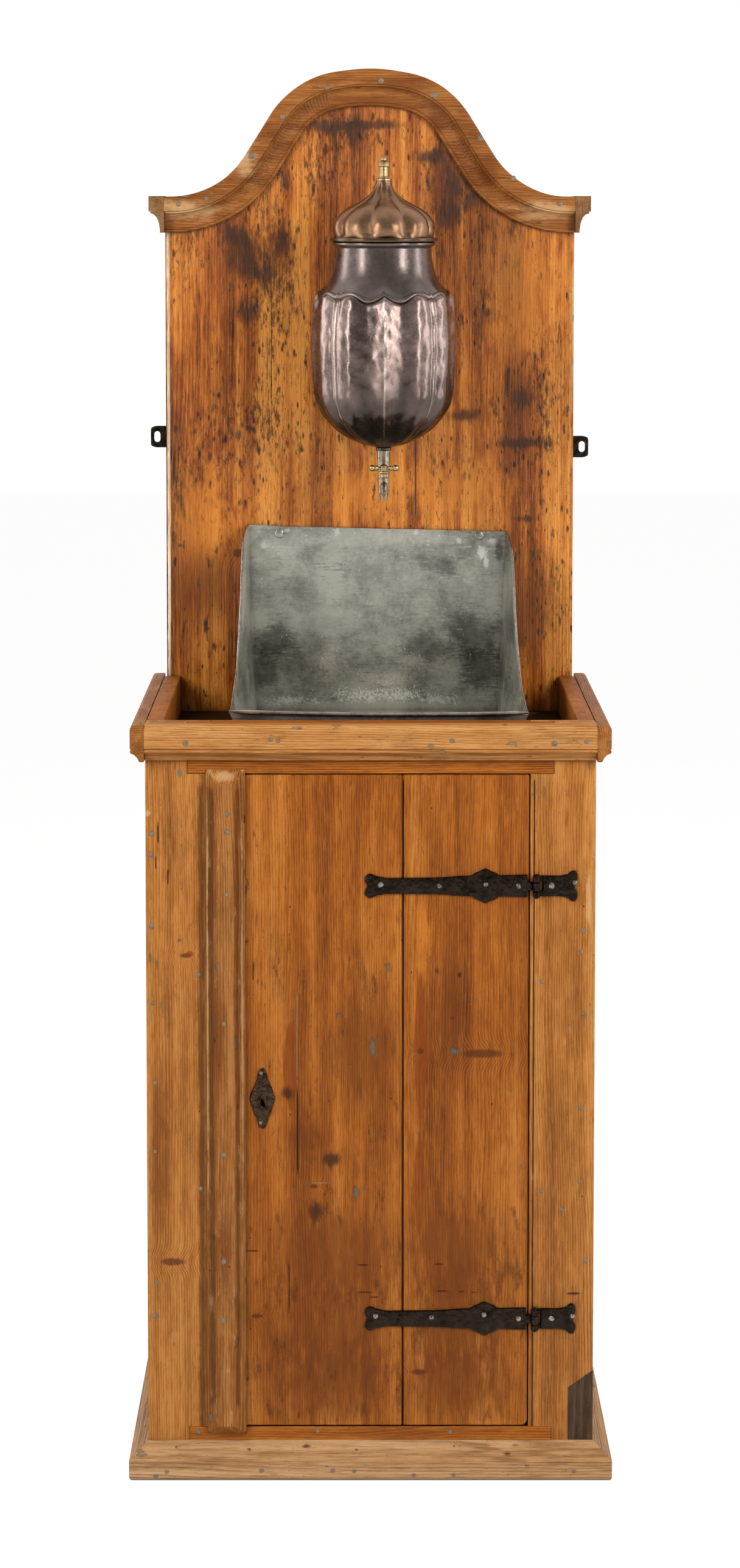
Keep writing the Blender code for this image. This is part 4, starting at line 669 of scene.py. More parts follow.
# %% Marks of the cabinet's boards
strip_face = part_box("cover_strip")[0][1]
DOOR_LEFT_MARKS = by_kind(
    ("shade", (600, 1720, 70, 130)),
    ("heart", (478, 1752, 12, 80)),
    # Painted shade, most of it low on the door, which darkens towards its foot.
    ("shade", (500, 1870, 40, 40), (540, 2190, 150, 110), (560, 2060, 150, 100), (540, 2270, 150, 90)),
    ("scratch", (488, 1708, 1.3, 84)),
    ("crack", (489, 1856, 1.2, 68)),
    ("scar", (638, 1589, 6, 10), (612, 1722, 6, 17), (557, 1667, 5, 4), (522, 1703, 6, 4), (586, 1958, 5, 11),
     (599, 1952, 4, 7)),
    ("soot", (545, 1905, 26, 14), (522, 1990, 16, 20)),
    ("scratch", (526, 1943, 18, 1.2)),
    ("knot", (423, 2162, 12, 5), (516, 1949, 8, 4)),
    ("soot", (470, 1795, 12, 12)),
    ("crack", (416, 1597, 1.0, 14), (475, 2110, 0.9, 42)),
    ("dash", (415, 2055, 11, 1.6), (597, 2078, 11, 1.6), (600, 2123, 13, 1.6), (615, 2131, 8, 1.5)),
    # A dark joint between the boards; beside the cover strip, a painted shadow.
    ("gap", (662.4, 1860, 1.5, 600), (400.4, 1860, 2.2, 600)),
)
DOOR_RIGHT_MARKS = by_kind(
    ("glow", (695, 1540, 14, 70)),
    ("heart", (691, 1722, 10, 130), (689, 1945, 8, 95)),
    ("shade", (740, 1660, 26, 110), (760, 2170, 110, 120), (760, 2270, 120, 90), (750, 2060, 120, 110)),
    ("knot", (691, 1727, 6, 6), (792, 1731, 44, 9)),
    ("scar", (749, 1728, 12, 9)),
    ("stain", (718, 1594, 4, 6), (755, 1602, 6, 4), (741, 1672, 4, 4)),
    ("knot", (688, 2254, 16, 6)),
    ("crack", (662, 2300, 1.4, 42)),
    ("dash", (720, 2077, 9, 1.5), (727, 2121, 10, 1.6), (757, 2122, 5, 1.4), (778, 2123, 5, 1.4)),
    ("gap", (662.4, 1860, 1.5, 600)),
)
STILE_LEFT_MARKS = by_kind(
    ("knot", (284, 2073, 26, 8), (305, 1570, 12, 5)),
    ("shade", (262, 1900, 20, 160)),
    ("crack", (259.7, 1370, 1.3, 16), (276, 1441, 1.3, 13), (256, 1417, 1.0, 10)),
    ("worn", (243, 1336, 6, 5)),
    ("nail", (295, 1270, 5, 7)),
    # Painted shadow of the cover strip on the stile.
    ("groove", (331, 1825, 7, 560)),
    ("scar", (247, 1575, 3, 12), (258, 1585, 2.5, 12), (294, 1545, 5, 4)),
    ("heart", (312, 1567, 6, 5)),
)
STILE_RIGHT_MARKS = by_kind(
    ("gap", (876.0, 1860, 1.3, 600)), ("dash", (943, 2125, 12, 2.4)), ("worn", (968, 1480, 5, 40)),
)
STRIP_MARKS = by_kind(
    ("worn", (369, 1278, 22, 9), (344, 1268, 5, 6), (397, 1268, 4, 6)),
    ("crack", (401, 1350, 1.0, 6)),
    ("shade", (360, 1700, 14, 120), (372, 2050, 12, 90)),
    # Painted shade in the strip's grooves.
    ("groove", (348, 1810, 6.5, 535), (390, 1810, 4.5, 535)),
    # Painted highlights on the strip's fillets.
    ("worn", (340, 1650, 2.0, 400), (397.5, 1650, 2.0, 400)),
)

# %% The cabinet's boards
DOOR_LOOK = {"lines": 0.5, "streaks": 1.2, "clouds": 1.3, "dirt": 0.6}
board("door_board_left", "door_left_pine", "Z", HONEY, (-0.75, 0.03), 0.0034, 12.3, DOOR_LEFT_MARKS,
      **DOOR_LOOK)
board("door_board_right", "door_right_pine", "Z", HONEY, (0.72, 0.03), 0.0034, 5.9, DOOR_RIGHT_MARKS,
      **DOOR_LOOK)
board("stile_left", "stile_left_pine", "Z", LIGHT_HONEY, (-0.9, 0.03), 0.0036, 21.0, STILE_LEFT_MARKS,
      holes=0.12, flecks=0.1)
board("stile_right", "stile_right_pine", "Z", LIGHT_HONEY, (0.9, 0.03), 0.0034, 33.0, STILE_RIGHT_MARKS,
      flecks=0.1)
board("cover_strip", "strip_pine", "Z", CREST, (-0.7, 0.05), 0.0030, 41.0, STRIP_MARKS, strip_face, lines=0.8,
      flecks=0.12, dirt=0.6)
board("top_rail bottom_rail", "rail_pine", "X", HONEY, (1.4, 0.05), 0.0034, 52.0)
board("side_board_left side_board_right", "side_pine", "side", HONEY, (0.9, 0.20), 0.0042, 81.0)
board("stile_patch", "patch_pine", "Z", DARK, (0.30, 0.05), 0.0030, 91.0)
# The tray's floor and cleats: dark red-brown wood, made darker still as painted shade inside the well.
board("tray_floor tray_cleat_left tray_cleat_right", "tray_floor_pine", "X", TRAY_RED_AND_SHADE, (0.0, 0.2), 0.0040, 95.0)
board("cabinet_floor shelf shelf_cleat_left shelf_cleat_right door_batten_upper door_batten_lower",
      "inner_pine", "X", CREST, (0.3, 0.3), 0.0050, 99.0)
print("dressed the boards")

# %% [markdown]
# ## New pieces
# A new piece is a mesh in the frame's own metres, so it needs no placing. It rides on a body, takes
# a finish, and may stand for a plainer CAD node.


# %% Add a piece
def add_piece(name, bm, finish, slot, body, *stands_for, crease=35):
    bmesh.ops.recalc_face_normals(bm, faces=bm.faces)
    mesh = bpy.data.meshes.new(name)
    bm.to_mesh(mesh)
    bm.free()
    mesh.shade_smooth()
    mesh.set_sharp_from_angle(angle=math.radians(crease))
    mesh.materials.append(finish)
    piece = bpy.data.objects.new(name, mesh)
    scene.collection.objects.link(piece)
    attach(piece, body)
    if stands_for:
        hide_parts(*stands_for)
    return piece


def stitch(bm, rows, ring=True, loop=False):
    """Faces between rows of points; each row may be a ring, and the last may lead back to the first."""
    for near, far in zip(rows, rows[1:] + rows[:1] if loop else rows[1:]):
        for here in range(0 if ring else 1, len(near)):
            bm.faces.new((near[here - 1], near[here], far[here], far[here - 1]))


def capped(bm, rings):
    """Faces between rings of points, with both ends closed."""
    stitch(bm, rings)
    bm.faces.new(rings[0])
    bm.faces.new(rings[-1])


def smooth(value):
    value = min(1.0, max(0.0, value))
    return value * value * (3 - 2 * value)


def bezier(points, steps):
    """Points along a Bezier curve of two or three arms."""
    line = []
    for index in range(steps + 1):
        t = index / steps
        level = [Vector(point) for point in points]
        while len(level) > 1:
            level = [a.lerp(b, t) for a, b in zip(level, level[1:])]
        line.append(tuple(level[0]))
    return line


def arc(centre, radius, start, end, steps):
    points = []
    for index in range(steps + 1):
        angle = math.radians(start + (end - start) * index / steps)
        points.append((centre[0] + radius * math.cos(angle), centre[1] + radius * math.sin(angle)))
    return points


# %% [markdown]
# ## The cistern
# The real cistern was raised from copper sheet: ridges, hollows and swells run down from a scalloped
# seam, and every blow of the hammer left a shallow facet. The CAD body has the flutes; this one has
# them finer, with sharp seams and the hammer's dents, turned point by point.

# %% Cistern sizes
TURN_STEPS = 240
BODY_R = 0.097
WALL = 0.002
SHOULDER_Z = 1.5595
SHOULDER_R = 0.088
BOWL_Z = 1.433
FOOT_Z = 1.3515
TIP_R = 0.0113
MOUTH_Z = 1.6385
MOUTH_R = 0.0661
BEAD_R = 0.0038
RING_R = 0.003
FLUTE_DEPTH = 0.0031
SCALLOP_H = 0.0045
SEAM_HALF = math.radians(1.5)
BOWL_ROUND = 1.08
BODY_ROW = 0.005
BODY_ROWS = 23
BELLY_Z = 1.490
SLIMMER = 0.032
INSIDE = 0.006
DRAIN_R = 0.004
TIP_H = 0.004
SHOULDER_LIP = 0.0015
SHOULDER_ROUND = ((0.002, 0.003), (0.0012, 0.007), (0.0007, 0.012))


def turned(profile, warp):
    """A closed profile swept round the cistern's axis; warp bends each point by its angle."""
    bm = bmesh.new()
    rings = []
    for index in range(TURN_STEPS):
        angle = math.tau * index / TURN_STEPS
        ring = []
        for radius, height in profile:
            across, up = warp(radius, height, angle)
            x = AXIS.x + across * math.sin(angle)
            y = AXIS.y - across * math.cos(angle)
            ring.append(bm.verts.new((x, y, up)))
        rings.append(ring)
    stitch(bm, rings, loop=True)
    return bm


def flute(angle):
    """1 on a sharp ridge, -1 in a hollow, 1 on a swell, then a groove with a fine raised seam."""
    away = abs((angle + SECTOR) % (2 * SECTOR) - SECTOR)
    third = away / SECTOR * 3
    seam = 0.85 * math.exp(-((SECTOR - away) / SEAM_HALF) ** 2)
    if third < 1:
        return 1 - 2 * math.sin(third * math.pi / 2)
    if third < 2:
        return -math.cos((third - 1) * math.pi)
    return -0.5 + 1.5 * math.cos((third - 2) * math.pi / 2) + seam


def dents(angle, height, size, deepest):
    """Soft hammer facets round the axis."""
    spot_on = Vector((math.sin(angle) * 0.09, math.cos(angle) * 0.09, height)) / size
    return deepest * hand.noise(spot_on)


def belly(height):
    """The body is a little slimmer at the shoulder and towards the bowl than at its middle."""
    if height > BELLY_Z:
        return 1 - SLIMMER * ((height - BELLY_Z) / (SHOULDER_Z - BELLY_Z)) ** 2
    return 1 - SLIMMER * smooth((BELLY_Z - height) / 0.08)


def warp_body(radius, height, angle):
    wave = flute(angle)
    radius *= belly(height)
    up = height - SHOULDER_Z
    fade = 1 - smooth(up / 0.030 if up > 0 else -up / 0.045)
    foot = smooth((radius - TIP_R * 1.2) / 0.02)
    hammered = dents(angle, height, 0.013, 0.0010) + dents(angle, height, 0.006, 0.0004)
    radius += foot * (FLUTE_DEPTH * wave * math.sqrt(radius / BODY_R) + hammered)
    return radius, height + SCALLOP_H * wave * fade


def warp_neck(radius, height, angle):
    up = height - SHOULDER_Z
    fade = 1 - smooth(up / 0.030)
    open_neck = smooth(up / 0.012) * smooth((MOUTH_Z - 0.010 - height) / 0.01)
    radius += open_neck * dents(angle, height, 0.02, 0.0002)
    return radius, height + SCALLOP_H * flute(angle) * fade


# %% Cistern body and neck
def bowl(radius, top, foot, steps):
    points = []
    for index in range(steps + 1):
        angle = math.pi / 2 * (1 - index / steps * 0.93)
        across = math.sin(angle) ** BOWL_ROUND
        points.append((radius * across, foot + (top - foot) * (1 - math.cos(angle) ** BOWL_ROUND)))
    return points


def make_cistern():
    top = SHOULDER_Z + SHOULDER_LIP
    outer = [(SHOULDER_R - 4 * WALL, top), (SHOULDER_R + BEAD_R, top)]
    outer += [(BODY_R - inward, top - down) for inward, down in SHOULDER_ROUND]
    outer += [(BODY_R, top - 0.015 - BODY_ROW * step) for step in range(BODY_ROWS)]
    outer += bowl(BODY_R, BOWL_Z, FOOT_Z, 30)[1:]
    outer += [(TIP_R, FOOT_Z), (TIP_R, FOOT_Z - TIP_H)]
    inner = bowl(BODY_R - INSIDE, BOWL_Z, FOOT_Z + TIP_H, 8)
    inner += [(DRAIN_R, FOOT_Z + TIP_H), (DRAIN_R, FOOT_Z - TIP_H)]
    throat = [(BODY_R - 0.007, top - 0.012), (SHOULDER_R - 4 * WALL, top - 0.004)]
    profile = outer + list(reversed(inner)) + throat
    body = add_piece("fluted_cistern", turned(profile, warp_body), copper, "copper", "stand", "cistern_body")

    ring = arc((MOUTH_R + RING_R, MOUTH_Z - RING_R), RING_R, 90, -90, 8)
    sweep = bezier([(MOUTH_R, MOUTH_Z - 3 * RING_R), (MOUTH_R + 0.001, 1.590),
                    (SHOULDER_R, SHOULDER_Z + 2 * BEAD_R)], 20)
    bead = arc((SHOULDER_R, SHOULDER_Z + BEAD_R), BEAD_R, 75, -90, 10)
    inside = [(radius - WALL, height) for radius, height in reversed(sweep[::5])]
    profile = [(MOUTH_R - WALL, MOUTH_Z)] + ring + sweep + bead
    profile += [(SHOULDER_R - 2 * WALL, SHOULDER_Z)] + inside
    add_piece("cistern_throat", turned(profile, warp_neck), neck_copper, "copper", "stand", "cistern_neck")
    print("cistern:", len(body.data.polygons), "faces")


make_cistern()

# %% [markdown]
# ## The lid
# The onion lid has eight lobes, pressed out low down, with creases between them that run up to the
# finial. It follows the CAD profile, with rounder lobes and sharper creases.

# %% Lid
LID_TURN = math.radians(5)
LID_SEAT_Z = MOUTH_Z + 0.0003
LID_FOOT_Z = LID_SEAT_Z + 0.0047
LID_TOP_Z = 1.7228
LOBE_Z = 1.662
CREASE_DEPTH = 0.0068
FINIAL_HOLE_R = 0.0039
FLANGE_R = 0.0753
SKIRT_R = MOUTH_R - WALL - 0.0007
SKIRT_T = 0.0018
SKIRT_H = 0.013


def warp_lid(radius, height, angle):
    lobe = abs(math.cos((angle - LID_TURN) * 4))
    low = smooth((height - LID_FOOT_Z) / 0.006)
    high = smooth((LID_TOP_Z - height) / 0.040)
    swell = math.exp(-((height - LOBE_Z) / 0.012) ** 2)
    radius -= low * high * (1 - lobe) ** 1.5 * CREASE_DEPTH
    radius += low * swell * (0.0014 * lobe + dents(angle, height, 0.011, 0.0005))
    return radius + low * high * dents(angle, height, 0.018, 0.0004), height


def make_lid():
    top = bezier([(0.0108, LID_TOP_Z), (0.0120, 1.7050), (0.0240, 1.6985), (0.0460, 1.6870)], 14)
    swell = bezier([(0.0460, 1.6870), (0.0640, 1.6775), (0.0745, 1.6643), (0.0685, LID_FOOT_Z)], 20)
    outer = [(FINIAL_HOLE_R, LID_TOP_Z)] + top + swell[1:]
    outer += [(FLANGE_R - 0.0008, LID_FOOT_Z), (FLANGE_R, LID_FOOT_Z - 0.0012)]
    outer += [(FLANGE_R, LID_FOOT_Z - 0.0030), (FLANGE_R - 0.0008, LID_SEAT_Z)]
    outer += [(SKIRT_R, LID_SEAT_Z), (SKIRT_R, LID_SEAT_Z - SKIRT_H)]
    inner = [(SKIRT_R - SKIRT_T, LID_SEAT_Z - SKIRT_H), (SKIRT_R - SKIRT_T, LID_SEAT_Z)]
    for radius, height in reversed((top + swell)[4::6]):
        inner.append((max(FINIAL_HOLE_R, radius - 0.009), height - 0.004))
    profile = outer + inner + [(FINIAL_HOLE_R, LID_TOP_Z - 0.0036)]
    add_piece("onion_lid", turned(profile, warp_lid), lid_copper, "copper", "lid", "lid_dome")
    print("lid ready")


make_lid()

# %% [markdown]
# ## The basin
# The basin is folded from one tinned sheet: a tall back plate, two wings that sweep down to the front
# and a low front wall with a rolled edge. Old sheet is never flat, so every point is pushed a little
# by a soft noise, the right corner is crumpled and the top edge runs down to the right.

# %% Tinned sheet
BRIGHT_TIN_AND_SHEEN = (0.62, 0.60, 0.52)
GLINT = (0.84, 0.82, 0.75)
DARK_TIN = (0.060, 0.058, 0.047)
LIME = (0.92, 0.90, 0.84)
BEIGE = (0.40, 0.34, 0.23)
WARM_TIN = (0.74, 0.68, 0.57)
SMEAR = (1.0, 1.5, 0.9, 1.0, 0.25)
CRUST = (0.8, 1.2, 2.8, 0.0, 0.42)
FLASH = (1.0, 1.3, 1.6, 0.8, 0.35)
TIN_COVER = {BRIGHT_TIN_AND_SHEEN: SMEAR, DARK_TIN: SMEAR, LIME: CRUST, WARM_TIN: CRUST, GLINT: FLASH, BEIGE: FLASH}
TIN_MARKS = by_kind(
    # Brighter tin; along the top edge, painted highlights on its bumps.
    (BRIGHT_TIN_AND_SHEEN, (470, 890, 60, 22, 0.45), (435, 892, 11, 11, 0.8), (590, 885, 90, 20, 0.4),
     (700, 882, 40, 14, 0.4), (540, 1020, 70, 28, 0.4), (630, 950, 60, 40, 0.25)),
    # Painted highlights on the crumpled dent and the bumps of the top edge.
    (GLINT, (791, 908, 8, 13, 0.7), (799, 924, 6, 14, 0.7), (808, 888, 9, 6, 0.5), (434, 894, 5, 8, 0.6),
     (472, 871, 6, 5, 0.5), (554, 873, 5, 7, 0.5), (684, 874, 5, 6, 0.5), (754, 888, 7, 6, 0.5)),
    (DARK_TIN, (452, 1054, 42, 36, 0.6), (436, 1100, 26, 36, 0.5), (774, 1040, 55, 45, 0.6),
     (790, 1098, 40, 45, 0.7), (732, 930, 24, 22, 0.55), (696, 1062, 50, 24, 0.4), (820, 905, 7, 22, 0.7),
     (600, 1085, 60, 20, 0.3)),
    (WARM_TIN, (540, 1088, 26, 28, 0.6), (636, 1114, 36, 12, 0.6), (680, 1086, 26, 16, 0.4)),
    (BRIGHT_TIN_AND_SHEEN, (620, 1158, 230, 10, 0.6)),
    # Painted highlights along the folds of the wings.
    (GLINT, (405, 960, 2.5, 80, 0.6), (838, 990, 2.5, 90, 0.5)),
    (LIME, (590, 1141, 54, 15, 0.9), (655, 1140, 56, 14, 0.85), (632, 1122, 22, 6, 0.5),
     (720, 1148, 60, 9, 0.6), (480, 1150, 60, 9, 0.6)),
    (BEIGE, (408, 1138, 4, 26, 0.6), (832, 1148, 4, 16, 0.6)),
)


def tin_shade(place, colour):
    """Streaked lighter and darker, lighter at the top with painted highlights on its bumps and along the
    folds, dark in the middle, with lime where water ran.
    """
    x, y, z = parts(place)
    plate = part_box("basin")[1][1]
    pixel = (plate - EYE.y) / FOCAL_PX
    cloud = noise(place, 34.0, 6.0, 0.75) - 0.5
    fleck = noise(place, 300.0, 4.0, 0.70) - 0.5
    wiped = noise(vec(x * 40.0, y * 40.0, z * 330.0), 1.0, 5.0, 0.72) - 0.5
    colour = tint(ramp(wiped + cloud * 0.5, 0.02, 0.26) * 0.70, colour, DARK_TIN)
    colour = tint(ramp(wiped + cloud * 0.5, -0.04, -0.28) * 0.75, colour, BRIGHT_TIN_AND_SHEEN)
    for shade, px, py, wide, tall, strength in TIN_MARKS:
        centre = on_face(px, py, plate)
        mask = spot((x - centre.x) / (wide * pixel), (z - centre.z) / (tall * pixel))
        full, clouded, flecked, wiped_off, low = TIN_COVER[shade]
        covered = mask * full + cloud * clouded + fleck * flecked + wiped * wiped_off
        colour = tint(ramp(covered, low, 0.85) * strength, colour, shade)
    return colour


tin = metal("tinned_sheet", (0.52, 0.505, 0.43), (0.22, 0.215, 0.180), 0.34, 16.0, 1.0, 34.0, shade=tin_shade,
            body=0.75, spread=0.10)
bright_tin = metal("worn_tin_edge", (0.55, 0.52, 0.45), (0.24, 0.19, 0.14), 0.30, 40.0, 1.0, 120.0)

# %% Basin sizes
BASIN_X = 0.011
PLATE_Y = 0.1772
BASIN_FRONT_Y = -0.1439
BASIN_FLOOR_Z = 0.9603
BASIN_TOP_Z = 1.2300
BASIN_RIM_Z = 1.0180
BASIN_LEAN = 0.018
BACK_HALF = 0.1855
FRONT_HALF = 0.1985
FLOOR_HALF = 0.1750
STATIONS = 30
WING_ROWS = 26
FLOOR_COLUMNS = 56
RIGHT_DROP = 0.009
FRONT_SAG = 0.0035
SHEET_T = 0.0016
RIM_R = 0.003
RIM_STEPS = 40
WING_BEAD_R = 0.0011
CRUMPLES = ((1.0, 0.150, 0.022, 1.186, 0.028), (0.5, -0.150, 0.020, 1.203, 0.016))


def settle(spot_on):
    """Tilt, wave and dent one point of the folded sheet."""
    x, y, z = spot_on
    rise = (z - BASIN_FLOOR_Z) / (BASIN_TOP_Z - BASIN_FLOOR_Z)
    z -= RIGHT_DROP * rise * (x + BACK_HALF) / (2 * BACK_HALF)
    z += 0.0011 * rise * hand.noise(Vector((x * 16, 3.0, y * 9)))
    front = smooth((0.05 - y) / 0.15) * smooth((z - BASIN_FLOOR_Z) / 0.04)
    z -= FRONT_SAG * front * (1 - (x / FRONT_HALF) ** 2)
    soft = hand.noise(Vector((x * 13, y * 13, z * 13))) + 0.45 * hand.noise(Vector((x * 34, y * 34, z * 34)))
    corner = 0.0
    for share, at_x, wide, at_z, tall in CRUMPLES:
        corner += share * math.exp(-((x - at_x) / wide) ** 2 - ((z - at_z) / tall) ** 2)
    crumple = corner * abs(hand.noise(Vector((x * 60, 1.0, z * 48))))
    if y > PLATE_Y - 0.004:
        y -= 0.0020 * (soft + 1.3) * smooth(rise * 5) + 0.011 * crumple
    else:
        x += 0.0013 * soft * smooth(rise * 6)
    return x, y, z


def basin_section(along, rise):
    """One section across the basin: down the left wing, across the floor, up the right wing."""
    top_z = BASIN_RIM_Z + (BASIN_TOP_Z - BASIN_RIM_Z) * rise
    top_x = BACK_HALF + (FRONT_HALF - BACK_HALF) * along + 0.004 * rise * smooth(along * 6)
    top_y = PLATE_Y + (BASIN_FRONT_Y - PLATE_Y) * along
    floor_y = PLATE_Y + (BASIN_FRONT_Y + BASIN_LEAN - PLATE_Y) * along
    high = Vector((top_x, top_y, top_z))
    low = Vector((FLOOR_HALF, floor_y, BASIN_FLOOR_Z))
    right = [low.lerp(high, row / WING_ROWS) for row in range(WING_ROWS + 1)]
    left = [Vector((-p.x, p.y, p.z)) for p in reversed(right)]
    floor = []
    for column in range(1, FLOOR_COLUMNS):
        floor.append(Vector((FLOOR_HALF * (2 * column / FLOOR_COLUMNS - 1), floor_y, BASIN_FLOOR_Z)))
    return left + floor + right


def fill_end(bm, row, spots):
    """Close one end of the folded sheet with a grid between its wings."""
    count = len(row)
    grid = []
    for level in range(WING_ROWS):
        left, right = spots[level], spots[count - 1 - level]
        line = [row[level]]
        for column in range(1, FLOOR_COLUMNS):
            between = left.lerp(right, column / FLOOR_COLUMNS)
            line.append(bm.verts.new(settle(between)))
        grid.append(line + [row[count - 1 - level]])
    grid.append(row[WING_ROWS:count - WING_ROWS])
    stitch(bm, grid, ring=False)


# %% Basin
def make_basin():
    bm = bmesh.new()
    rows = []
    sections = []
    for along, rise in bezier([(0.0, 1.0), (0.35, 1.0), (0.35, 0.0), (1.0, 0.0)], STATIONS):
        sections.append(basin_section(along, rise))
        rows.append([bm.verts.new(settle(p)) for p in sections[-1]])
    edges = [[Vector(settle(s[side])) for s in sections] for side in (0, -1)]
    stitch(bm, rows, ring=False)
    fill_end(bm, rows[0], sections[0])
    fill_end(bm, rows[-1], sections[-1])
    bmesh.ops.translate(bm, verts=bm.verts, vec=(BASIN_X, 0, 0))
    bmesh.ops.recalc_face_normals(bm, faces=bm.faces)
    bmesh.ops.solidify(bm, geom=bm.faces[:], thickness=SHEET_T)
    basin = add_piece("folded_basin", bm, tin, "tin", "stand", "basin")
    print("basin:", len(basin.data.polygons), "faces")
    for side, edge in zip(("left", "right"), edges):
        line = [point + Vector((BASIN_X, 0, 0)) for point in edge]
        bead = swept(line, lambda t: WING_BEAD_R + 0.0003 * hand.noise(Vector((t * 30, 2.0, 0))))
        add_piece("wing_bead_" + side, bead, bright_tin, "tin", "stand")
    return basin


def swept(line, radius, sides=10):
    """A round bar along a line of points, closed at both ends with a blunt cap."""
    bm = bmesh.new()
    rings = []
    for index, centre in enumerate(line):
        ahead = (line[min(index + 1, len(line) - 1)] - line[max(index - 1, 0)]).normalized()
        level = Vector((0, 0, 1)) if abs(ahead.z) < 0.95 else Vector((0, 1, 0))
        side = ahead.cross(level).normalized()
        over = side.cross(ahead)
        thick = radius(index / (len(line) - 1))
        ring = []
        for step in range(sides):
            angle = math.tau * step / sides
            ring.append(bm.verts.new(centre + (side * math.cos(angle) + over * math.sin(angle)) * thick))
        rings.append(ring)
    capped(bm, rings)
    return bm


def make_basin_rim():
    line = []
    for step in range(RIM_STEPS + 1):
        x = -FRONT_HALF + 2 * FRONT_HALF * step / RIM_STEPS
        z = settle(Vector((x, BASIN_FRONT_Y, BASIN_RIM_Z)))[2]
        line.append(Vector((BASIN_X + x, BASIN_FRONT_Y - RIM_R / 2, z + 0.0026)))

    def thickness(t):
        return RIM_R * min(1.0, 0.35 + 14 * min(t, 1 - t)) + 0.0004 * hand.noise(Vector((t * 40, 0, 0)))

    add_piece("rolled_rim", swept(line, thickness), bright_tin, "tin", "stand", "basin_rim")


basin = make_basin()
make_basin_rim()

# %% [markdown]
# ## The hinges
# A smith drew each strap out of a bar: the end is split into two rounded lobes, a round boss carries
# the middle nail, and the end at the pin is rolled into an eye. A plate of that kind is a strip of
# sections whose height changes along it, with a domed, beaten face and eased edges.

# %% Hinge sizes
HINGE_X = 0.218
HINGE_Y = -0.1831
HINGES = {"upper": 0.795, "lower": 0.212}
PLATE_BACK_Y = -0.1778
PLATE_T = 0.0025
EYE_R = 0.005
EYE_HOLE_R = 0.00225
TONGUE_HALF = 0.0058
KNUCKLE_LOW = 0.0064
KNUCKLE_HIGH = 0.0139
LOBE_AT = 0.58
EYE_STEPS = 28
STRAP_TIP = -0.226
STRAP_END = -0.0118
LEAF_START = 0.008
LEAF_TIP = 0.0545
ACROSS = (-1, -0.95, -0.85, -0.72, -LOBE_AT, -0.4, -0.2, 0, 0.2, 0.4, LOBE_AT, 0.72, 0.85, 0.95, 1)
STRAP_HALF = ((STRAP_TIP, 0.0145), (-0.219, 0.0162), (-0.207, 0.0122), (-0.197, 0.0104), (-0.140, 0.0108),
              (-0.086, 0.0135), (-0.079, 0.0180), (-0.067, 0.0228), (-0.056, 0.0185), (-0.048, 0.0140),
              (-0.012, 0.0148))
LEAF_HALF = ((LEAF_START, 0.0139), (0.030, 0.0135), (0.040, 0.0150), (0.047, 0.0200), (0.0515, 0.0212),
             (LEAF_TIP, 0.0195))


def eased(points, at):
    """A value that is given at some places, eased between them."""
    for (near, low), (far, high) in zip(points, points[1:]):
        if at <= far:
            return low + (high - low) * smooth((at - near) / (far - near))
    return points[-1][1]


def lobes(across, tip, way):
    """The end of a plate: two rounded lobes with a hollow between them."""
    out = abs(across)
    if out < LOBE_AT:
        cut = 0.0019 * (1 + math.cos(math.pi * out / LOBE_AT))
    else:
        cut = 0.006 * (1 - math.sqrt(max(0.0, 1 - ((out - LOBE_AT) / (1 - LOBE_AT)) ** 2)))
    return tip + way * cut


# %% Forged plates
def border(sheet):
    """The points round a sheet of rows."""
    inner = sheet[1:-1]
    return sheet[0] + [row[-1] for row in inner] + sheet[-1][::-1] + [row[0] for row in reversed(inner)]


def forged(bm, centre_z, start, end, half, steps):
    """A beaten plate between two ends, each given across the plate."""
    fronts, backs = [], []
    for step in range(steps + 1):
        front, back = [], []
        for across in ACROSS:
            x = start(across) + (end(across) - start(across)) * step / steps
            z = centre_z + across * half(x)
            thick = PLATE_T + 0.0006 * (1 - across * across)
            thick += 0.0005 * hand.noise(Vector((x * 80, centre_z * 9, z * 80)))
            if abs(across) == 1 or step in (0, steps):
                thick -= 0.0012
            front.append(bm.verts.new((HINGE_X + x, PLATE_BACK_Y - thick, z)))
            back.append(bm.verts.new((HINGE_X + x, PLATE_BACK_Y, z)))
        fronts.append(front)
        backs.append(back)
    stitch(bm, fronts, ring=False)
    stitch(bm, backs, ring=False)
    stitch(bm, [border(fronts), border(backs)])


def eye_roll(bm, low, high):
    """A rolled eye round the pin."""
    ease = 0.0007
    profile = [(EYE_HOLE_R, low), (EYE_R - ease, low), (EYE_R, low + ease), (EYE_R, high - ease)]
    profile += [(EYE_R - ease, high), (EYE_HOLE_R, high)]
    rings = []
    for step in range(EYE_STEPS):
        angle = math.tau * step / EYE_STEPS
        spots = [(HINGE_X + r * math.cos(angle), HINGE_Y + r * math.sin(angle), z) for r, z in profile]
        rings.append([bm.verts.new(place) for place in spots])
    stitch(bm, rings, loop=True)


